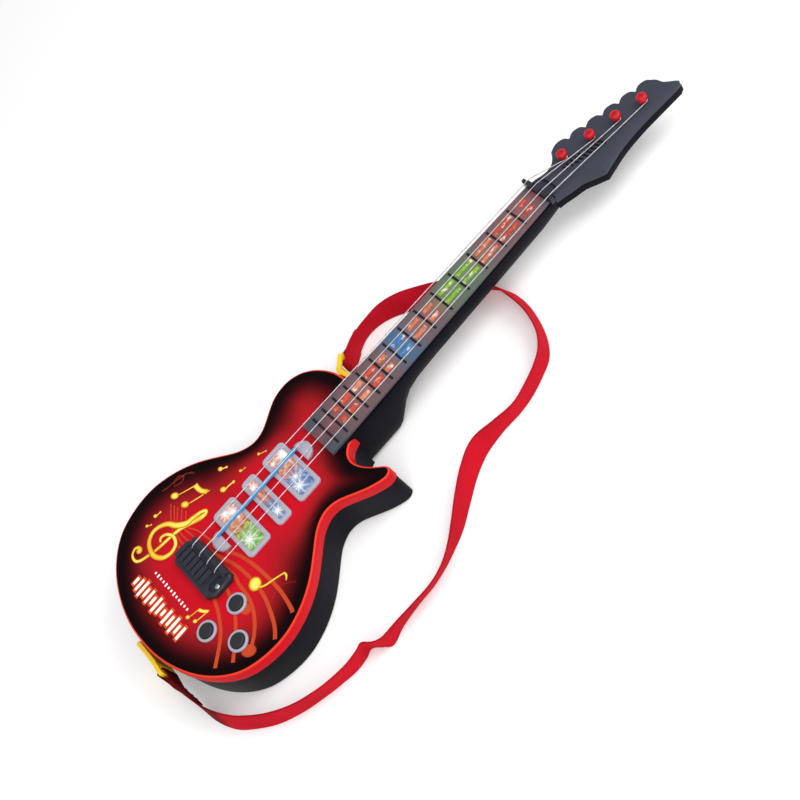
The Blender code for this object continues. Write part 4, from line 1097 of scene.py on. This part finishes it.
def make_headstock():
    """Matt headstock face with a bevelled edge, a scoop behind the nut and slanted raised bars."""
    matt = moulded("headstock_face", srgb(52, 56, 68), 0.55, 0.16, 0.1)
    low, high = box_mm("headstock_cover")
    rough, inner = slice_loops("headstock_cover", low.z + 0.5)[:2]
    outline = smoothed(rough, 4)
    levels = [(low.z, 0), (high.z - 2.5, 0), (high.z - 2.1, 0.12), (high.z - 1.3, 0.85),
              (high.z - 0.5, 1.15), (high.z - 0.12, 1.4), (high.z, 1.9)]
    cover = stack("headstock_face", outline, levels, matt)
    hollow = stack("hollow", inner, [(low.z - 1, 0), (high.z - 4.6, 0)], matt)
    behind_nut = rounded((-9.8, 343), (9.8, 356.5), 4.0, 8)
    scoop = stack("scoop", behind_nut, [(36.8, 2.0), (37.2, 1.2), (41, 0)], matt)
    cut(cover, hollow, scoop, *[drill("hole", spot, 2.5, *FACE_CUT, matt) for spot in POSTS])
    stand_for(settle(cover, 30.0), "headstock_cover")
    marks = []
    for i, reach in enumerate((3.0, 4.5, 6.0, 5.0, 7.0, 5.5, 6.5, 4.0, 5.0)):
        x, y = 2.6 + 1.15 * i, 370.5 + 3.7 * i
        corners = (-reach, -0.75), (reach, -0.75), (reach, 0.75), (-reach, 0.75)
        marks.append([
            [(x + dx * (0.94 + 0.06 * slim) * 0.62, y + dy * slim + dx * 0.16, high.z + rise)
             for dx, dy in corners]
            for rise, slim in ((-0.1, 1.0), (0.45, 1.0), (0.6, 0.7))
        ])
    dark = moulded("headstock_mark", srgb(22, 24, 32), 0.4, specular=0.1)
    belongs(join_rings("headstock_mark", marks, dark))


POST_NECK = 2.1
# A string goes round its post in this many steps, each of so many degrees, from this height and rising
WIND_STEPS, WIND_TURN, WIND_HEIGHT, WIND_RISE = 40, 6.6, 41.5, 0.012


def make_posts():
    """Red string posts with a groove for the string and a cross in the head."""
    red = moulded("post_red", srgb(186, 18, 32), 0.34, 0.0, 0.08, 0.0, 0.3)
    profile = [(3.6, 29.2), (3.6, 30.6), (POST_NECK, 30.8), (POST_NECK, 42.6), (2.3, 42.95),
               (3.4, 43.15), (3.75, 43.5), (3.9, 44.0), (3.9, 46.0), (3.75, 46.6), (3.3, 47.2),
               (2.6, 47.5), (1.6, 47.7)]
    for number, spot in enumerate(POSTS, 1):
        post = turned(f"post_{number}_fine", profile, (spot.x, spot.y, 0), red, 56)
        for half_x, half_y in ((2.6, 0.4), (0.4, 2.6)):
            ends = rounded((spot.x - half_x, spot.y - half_y), (spot.x + half_x, spot.y + half_y), 0.38, 4)
            cut(post, stack("slot", ends, [(47.2, 0), (49, 0)], red))
        stand_for(settle(post, 30.0), f"string_post_{number}")


def make_strings():
    """Four steel strings, from the bridge over the nut and most of the way round each post."""
    steel = Shader("string_steel", Metallic=0.7, Roughness=0.28)
    wound = steel.scaled(steel.noise(400.0), 0.3, 0.7)
    steel.set(Base_Color=steel.mix(wound, srgb(176, 172, 178), srgb(222, 216, 220)))
    for number, post in enumerate(POSTS, 1):
        lane = number - 2.5
        bridge_x, nut_x = lane * STRING_PITCH_BRIDGE, lane * STRING_PITCH_NUT
        nut_end, wind = Vector((nut_x, NUT + 4.8)), POST_NECK + 0.3 + STRING_RADIUS
        reach = post.xy - nut_end
        start = math.atan2(-reach.y, -reach.x) + math.acos(wind / reach.length)
        points = [(bridge_x, -1.4, 46.0), (bridge_x, 0.0, 46.95), (bridge_x, 1.2, 47.5),
                  (bridge_x, 2.4, 47.68), (bridge_x, 3.8, 47.7), (nut_x, NUT + 0.6, 44.6),
                  (nut_x, NUT + 4.8, 44.5)]
        for step in range(WIND_STEPS + 1):
            angle = start + math.radians(WIND_TURN * step)
            x, y = post.x + wind * math.cos(angle), post.y + wind * math.sin(angle)
            points.append((x, y, WIND_HEIGHT + WIND_RISE * step))
        curve = bpy.data.curves.new(f"string_{number}_fine", "CURVE")
        curve.dimensions, curve.bevel_depth, curve.bevel_resolution = "3D", STRING_RADIUS * MM, 4
        curve.use_fill_caps = True
        spline = curve.splines.new("POLY")
        spline.points.add(len(points) - 1)
        for target, spot in zip(spline.points, points):
            target.co = (*place(*spot), 1.0)
        curve.materials.append(steel.material)
        stand_for(put(f"string_{number}_fine", curve), f"string_{number}")


# Buttons, bridge and strap tabs


def make_buttons():
    """Grey rings with black domed caps."""
    grey = moulded("ring_grey", srgb(166, 164, 178), 0.34, 0.06, 0.05, 0.2)
    black = moulded("cap_black", srgb(36, 38, 42), 0.5, 0.1, 0.1)
    ring = [(7.9, FACE + 0.1), (7.9, 38.9), (7.8, 39.2), (7.5, 39.45), (7.1, 39.58), (6.6, 39.6),
            (6.2, 39.5), (5.9, 39.2), (5.9, 35.2), (6.5, 35.2), (6.5, FACE + 0.1)]
    cap = [(3.2, 33.0), (7.0, 33.4), (7.0, 34.8), (5.6, 34.9), (5.6, 39.7), (5.5, 40.1), (5.2, 40.45),
           (4.7, 40.7), (4.0, 40.85), (2.5, 41.0), (1.0, 41.05)]
    for number, spot in enumerate(BUTTONS, 1):
        centre = (spot.x, spot.y, 0)
        shown = turned(f"ring_{number}", ring, centre, grey, 72, closed=True)
        stand_for(shown, f"button_ring_{number}")
        stand_for(turned(f"cap_{number}", cap, centre, black, 64), f"button_cap_{number}")


def make_fittings():
    """Bridge, nut, neck, tabs, battery cover and switch knob: the CAD's shapes with rounded edges."""
    satin = moulded("black_plastic", srgb(14, 15, 24), 0.42, 0.08, 0.16, specular=0.05)
    dark = moulded("bridge_black", srgb(40, 43, 53), 0.34, 0.08, 0.12)
    yellow = moulded("tab_yellow", srgb(240, 202, 24), 0.3, 0.05, 0.06, 0.3)
    refine("bridge", dark, 0.35)
    refine("nut", dark, 0.15, 2)
    refine("neck_shell", satin, 0.4)
    refine("strap_tab_tail", yellow, 0.45)
    refine("strap_tab_shoulder", yellow, 0.45)
    refine("battery_cover", satin, 0.3)
    refine("power_switch_knob", dark, 0.3)
    return satin


def finish_nodes(satin):
    """A look for every slot, put on all CAD nodes. The ones inside still show in it."""
    looks = {
        "black_plastic": satin,
        "grey_plastic": moulded("grey_plastic", srgb(168, 165, 178), 0.36),
        "post_plastic": moulded("post_plastic", srgb(200, 18, 34), 0.25),
        "circuit_board": moulded("circuit_board", srgb(24, 92, 52), 0.45, 0.1, 0.2),
        "rubber_mat": moulded("rubber_mat", srgb(96, 98, 102), 0.75, 0.2),
        "speaker_metal": metal("speaker_metal", srgb(96, 98, 104), 0.45),
        "cell_wrap": moulded("cell_wrap", srgb(32, 84, 60), 0.3, 0.04, 0.25, 0.3),
        "zinc_steel": metal("zinc_steel", srgb(176, 178, 182), 0.32),
        "wire": moulded("wire", srgb(150, 26, 26), 0.45),
        "red_plastic": moulded("red_inner", srgb(196, 20, 32), 0.35),
        "smoky_plastic": moulded("smoky_inner", srgb(60, 62, 70), 0.35),
        "clear_plastic": moulded("clear_inner", srgb(210, 214, 220), 0.2),
        "blue_plastic": moulded("blue_inner", srgb(50, 150, 205), 0.25),
        "tab_plastic": moulded("tab_inner", srgb(240, 202, 24), 0.3),
        "string_steel": metal("string_inner", srgb(220, 216, 220), 0.3),
        "webbing": moulded("webbing_inner", srgb(205, 25, 40), 0.8),
    }
    for node, thing in NODES.items():
        thing.data.materials.clear()
        thing.data.materials.append(looks[SLOT_OF[node]])


def metal(name, colour, roughness):
    """Plated steel, with fine scratches."""
    shader = Shader(name, Metallic=1.0)
    fine, large = shader.noise(900.0, 4.0, 0.7), shader.noise(60.0)
    shader.set(Base_Color=shader.mix(large, tuple(v * 0.85 for v in colour), colour))
    shader.set(Roughness=shader.scaled(fine, 0.3, 0.7, roughness * 0.8, roughness * 1.3))
    shader.bump(fine, 0.05, 0.0001)
    return shader.material


# Strap


def webbing_material(name, colour, dark, shaded=0.0):
    """Woven webbing: fine ribs across it, threads along it, and darker edges and patches.

    Its first stretch, up to the length given in shaded, is painted brown: painted shade.
    """
    shader = Shader(name, Roughness=0.8, Specular_IOR_Level=0.05)
    run, across = shader.attribute("run"), shader.attribute("across")
    rib = shader.math("SINE", shader.times(run, math.tau / 1.25))
    thread = shader.math("SINE", shader.times(across, math.tau / 0.9))
    weave = shader.plus(shader.times(rib, 0.7), shader.times(thread, 0.3))
    edge = shader.scaled(shader.math("ABSOLUTE", across), STRAP_WIDTH / 2 - 1.6, STRAP_WIDTH / 2, 0.0, 0.4)
    patch = shader.scaled(shader.noise(24.0, 4.0), 0.35, 0.7, 0.0, 0.4)
    share = shader.plus(shader.scaled(weave, -1.0, 1.0, 0.34, 0.0), shader.plus(edge, patch))
    woven = shader.mix(shader.math("MINIMUM", share, 1.0), colour, dark)
    # Painted shade: up to the length given in shaded, the webbing is mixed towards brown
    painted_shade = shader.scaled(run, shaded, shaded + 12.0, 0.75, 0.0, smooth=True)
    shader.set(Base_Color=shader.mix(painted_shade, woven, srgb(66, 18, 12)) if shaded else woven)
    height = shader.plus(weave, shader.scaled(shader.noise(1800.0), 0.3, 0.7, -0.4, 0.4))
    shader.bump(height, 0.5, 0.00025)
    return shader.material


def strap_line(steps):
    """The strap's middle line, as points with the lean of its width."""
    half, thick, lift = STRAP_WIDTH / 2, STRAP_THICK / 2, 0.3
    route = []
    for x, y, z, lean in STRAP_ROUTE:
        tilt = math.radians(lean)
        rest = half * abs(math.sin(tilt)) + thick * abs(math.cos(tilt)) + lift
        route.append((x, y, rest if z is None else z, lean))
    return smooth_run(route, steps)


def ribbon(name, line, width, thick, material):
    """A flat band with round edges along points that carry its lean.

    Its mesh carries how far along it and how far across it each point is.
    """
    across = [-1.0, -0.985, -0.93, -0.6, -0.2, 0.2, 0.6, 0.93, 0.985, 1.0]
    depth = [0.25, 0.7, 1.0, 1.0, 1.0, 1.0, 1.0, 1.0, 0.7, 0.25]
    upper = list(zip(across, depth))
    section = upper + [(a, -d) for a, d in reversed(upper)]
    rings, run, place_along = [], [], 0.0
    for i, (x, y, z, lean) in enumerate(line):
        before, after = line[max(i - 1, 0)], line[min(i + 1, len(line) - 1)]
        along = Vector((after[0] - before[0], after[1] - before[1], 0.0)).normalized()
        tilt = math.radians(lean)
        left = Vector((-along.y, along.x, 0.0))
        wide = left * math.cos(tilt) + Vector((0.0, 0.0, math.sin(tilt)))
        flat = wide.cross(along).normalized()
        centre = Vector((x, y, z))
        if i:
            place_along += (centre - Vector(line[i - 1][:3])).length
        rings.append([tuple(centre + wide * width / 2 * a + flat * thick / 2 * b) for a, b in section])
        run.append(place_along)
    band = loft(name, rings, material, sharp=70.0)
    values = [(run[i], a * width / 2) for i in range(len(line)) for a, _ in section]
    store(band.data, "run", [value for value, _ in values])
    store(band.data, "across", [value for _, value in values])
    return band


def make_strap():
    """The webbing strap, with its ends sewn into loops round the tabs' bars."""
    colours = srgb(214, 24, 44), srgb(150, 12, 26)
    # The strap's first 44 mm and the whole tail loop are painted brown: painted shade
    red, plain = webbing_material("webbing", *colours, 44.0), webbing_material("webbing_loop", *colours)
    painted_shade = webbing_material("webbing_loop_tail", *colours, 90.0)
    line = strap_line(8)
    strap = ribbon("strap_webbing", line, STRAP_WIDTH, STRAP_THICK - 0.2, red)
    stand_for(strap, "strap")
    loops = []
    for name, run, look in (("tail", line, painted_shade), ("shoulder", line[::-1], plain)):
        loops += make_strap_end(name, run, look)
    path = [tuple(place(x, y, z)) for x, y, z, _ in line]
    length = sum((Vector(b) - Vector(a)).length for a, b in zip(path, path[1:]))
    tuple(path[0])


# The middle of each tab's bar, and the direction of its plate in degrees
TAB_BARS = {"tail": ((23.7, -77.6), 6.0), "shoulder": ((-45.8, 168.3), 133.0)}
# The doubled webbing at a loop: its length, its distance from the bar, and the gap between its layers.
# It starts this far along the strap, and its inner layer ends sooner.
OVERLAP, OFF_BAR, LAYER_GAP = 27.0, 3.0, 1.15
SEWN_START, INNER_END = 7.0, 15.0
STITCH = ((-0.22, 0.0), (0.22, 0.0), (0.22, 1.1), (-0.22, 1.1))  # along and up, the corners of one stitch


def make_strap_end(name, run, material):
    """The loop round a tab's bar: the webbing comes back on itself and is sewn down."""
    (bar_x, bar_y), angle = TAB_BARS[name]
    along = Vector((math.cos(math.radians(angle)), math.sin(math.radians(angle))))
    out = Vector((-along.y, along.x))
    travelled, near, far = 0.0, [], []
    flip = -1 if name == "shoulder" else 1
    for i in range(len(run) - 1):
        (x, y, z, lean), ahead = run[i], run[i + 1]
        step = Vector((ahead[0] - x, ahead[1] - y))
        travelled += step.length
        normal = Vector((-step.y, step.x)).normalized()
        if travelled > OVERLAP:
            break
        lean = lean if flip > 0 else 180 - lean
        if travelled > SEWN_START:
            near.append((x + normal.x * LAYER_GAP, y + normal.y * LAYER_GAP, z, 180 - lean))
            if travelled < INNER_END:
                far.append((x - normal.x * LAYER_GAP, y - normal.y * LAYER_GAP, z, lean))
    z = run[0][2]
    wrap = []
    for turn in range(0, 181, 20):
        phase = math.radians(turn)
        behind, beside = 1.0 + OFF_BAR * 0.8 * math.sin(phase), OFF_BAR * math.cos(phase)
        spot = Vector((bar_x, bar_y)) - along * behind + out * beside
        wrap.append((spot.x, spot.y, z, 90.0))
    line = smooth_run([*reversed(near), *wrap, *far], 2)
    loop = ribbon(f"strap_loop_{name}", line, STRAP_WIDTH - 0.6, 1.0, material)
    belongs(loop)
    thread = make_stitches(f"strap_stitches_{name}", near)
    return [loop, thread]


def make_stitches(name, near):
    """Three rows of stitches across the sewn part of a loop."""
    thread = moulded("thread_red", srgb(120, 10, 22), 0.8)
    stitches = []
    for index in (2, len(near) // 2, len(near) - 3):
        (x, y, z, _), (x2, y2, _, _) = near[index], near[index + 1]
        forward = Vector((x2 - x, y2 - y, 0)).normalized()
        normal = Vector((-forward.y, forward.x, 0))
        for k in range(9):
            low = z - 6.8 + 1.7 * k
            stitches.append([
                [tuple(Vector((x, y, low + up)) + forward * along + normal * deep) for along, up in STITCH]
                for deep in (0.45, 0.85)
            ])
    return belongs(join_rings(name, stitches, thread))


# Screws


def make_screws():
    """Bright steel and softened edges on the screws that show."""
    for node in ("bridge_screw", "tab_screw_tail", "tab_screw_shoulder", "battery_cover_screw"):
        refine(node, metal(f"{node}_steel", srgb(190, 192, 196), 0.28), 0.12, 2)


# Stage, light and camera

FOCAL, SENSOR = 65.9, 36.0
EYE = Vector((0.6517, -0.0611, 0.8252))
LOOK, UP = Vector((-0.6200, 0.0386, -0.7837)), Vector((-0.5044, 0.7454, 0.4358))


def make_stage():
    mesh = bpy.data.meshes.new("floor")
    reach = 4.0
    corners = [(-reach, -reach, 0), (reach, -reach, 0), (reach, reach, 0), (-reach, reach, 0)]
    mesh.from_pydata(corners, [], [(0, 1, 2, 3)])
    floor = put("floor", mesh)
    pale = Shader("floor", Roughness=0.9, Specular_IOR_Level=0.1)
    pale.set(Base_Color=pale.mix(pale.noise(3.0), (0.92, 0.92, 0.93), (0.95, 0.95, 0.95)))
    pale.set(Emission_Color=(1.0, 1.0, 1.0), Emission_Strength=0.08)
    mesh.materials.append(pale.material)


def make_light(name, spot, size, power, target=(0.0, 0.0, 0.02)):
    lamp = bpy.data.lights.new(name, "AREA")
    lamp.shape, lamp.size, lamp.energy = "DISK", size, power
    thing = put(name, lamp)
    thing.location = spot
    thing.rotation_euler = (Vector(target) - Vector(spot)).to_track_quat("-Z", "Y").to_euler()


def make_camera():
    camera = bpy.data.cameras.new("camera")
    camera.lens, camera.sensor_width = FOCAL, SENSOR
    camera.clip_start = 0.01
    thing = put("camera", camera)
    right = LOOK.cross(UP).normalized()
    up = right.cross(LOOK).normalized()
    turn = Matrix((right, up, -LOOK.normalized())).transposed().to_4x4()
    thing.matrix_world = Matrix.Translation(EYE) @ turn
    bpy.context.scene.camera = thing


def light_scene():
    """Plain soft studio light."""
    scene = bpy.context.scene
    scene.view_settings.view_transform = "Standard"
    world = bpy.data.worlds.new("studio")
    world.use_nodes = True
    world.node_tree.nodes["Background"].inputs["Color"].default_value = (1.0, 1.0, 1.0, 1.0)
    world.node_tree.nodes["Background"].inputs["Strength"].default_value = 0.55
    scene.world = world
    make_light("key", (0.45, 1.15, 1.2), 1.0, 12.0)
    make_light("fill", (1.2, -0.55, 1.1), 1.2, 9.0)
    make_light("top", (0.45, 0.1, 1.7), 1.4, 9.0)


def make_everything():
    make_camera()
    make_strap()
    outline, rough = body_outlines()
    make_front_shell(outline, rough)
    make_artwork()
    make_windows()
    make_fretboard()
    make_headstock()
    make_posts()
    make_strings()
    make_buttons()
    satin = make_fittings()
    make_back_shell(outline, rough, satin)
    make_screws()
    finish_nodes(satin)
    make_stage()
    light_scene()


make_everything()
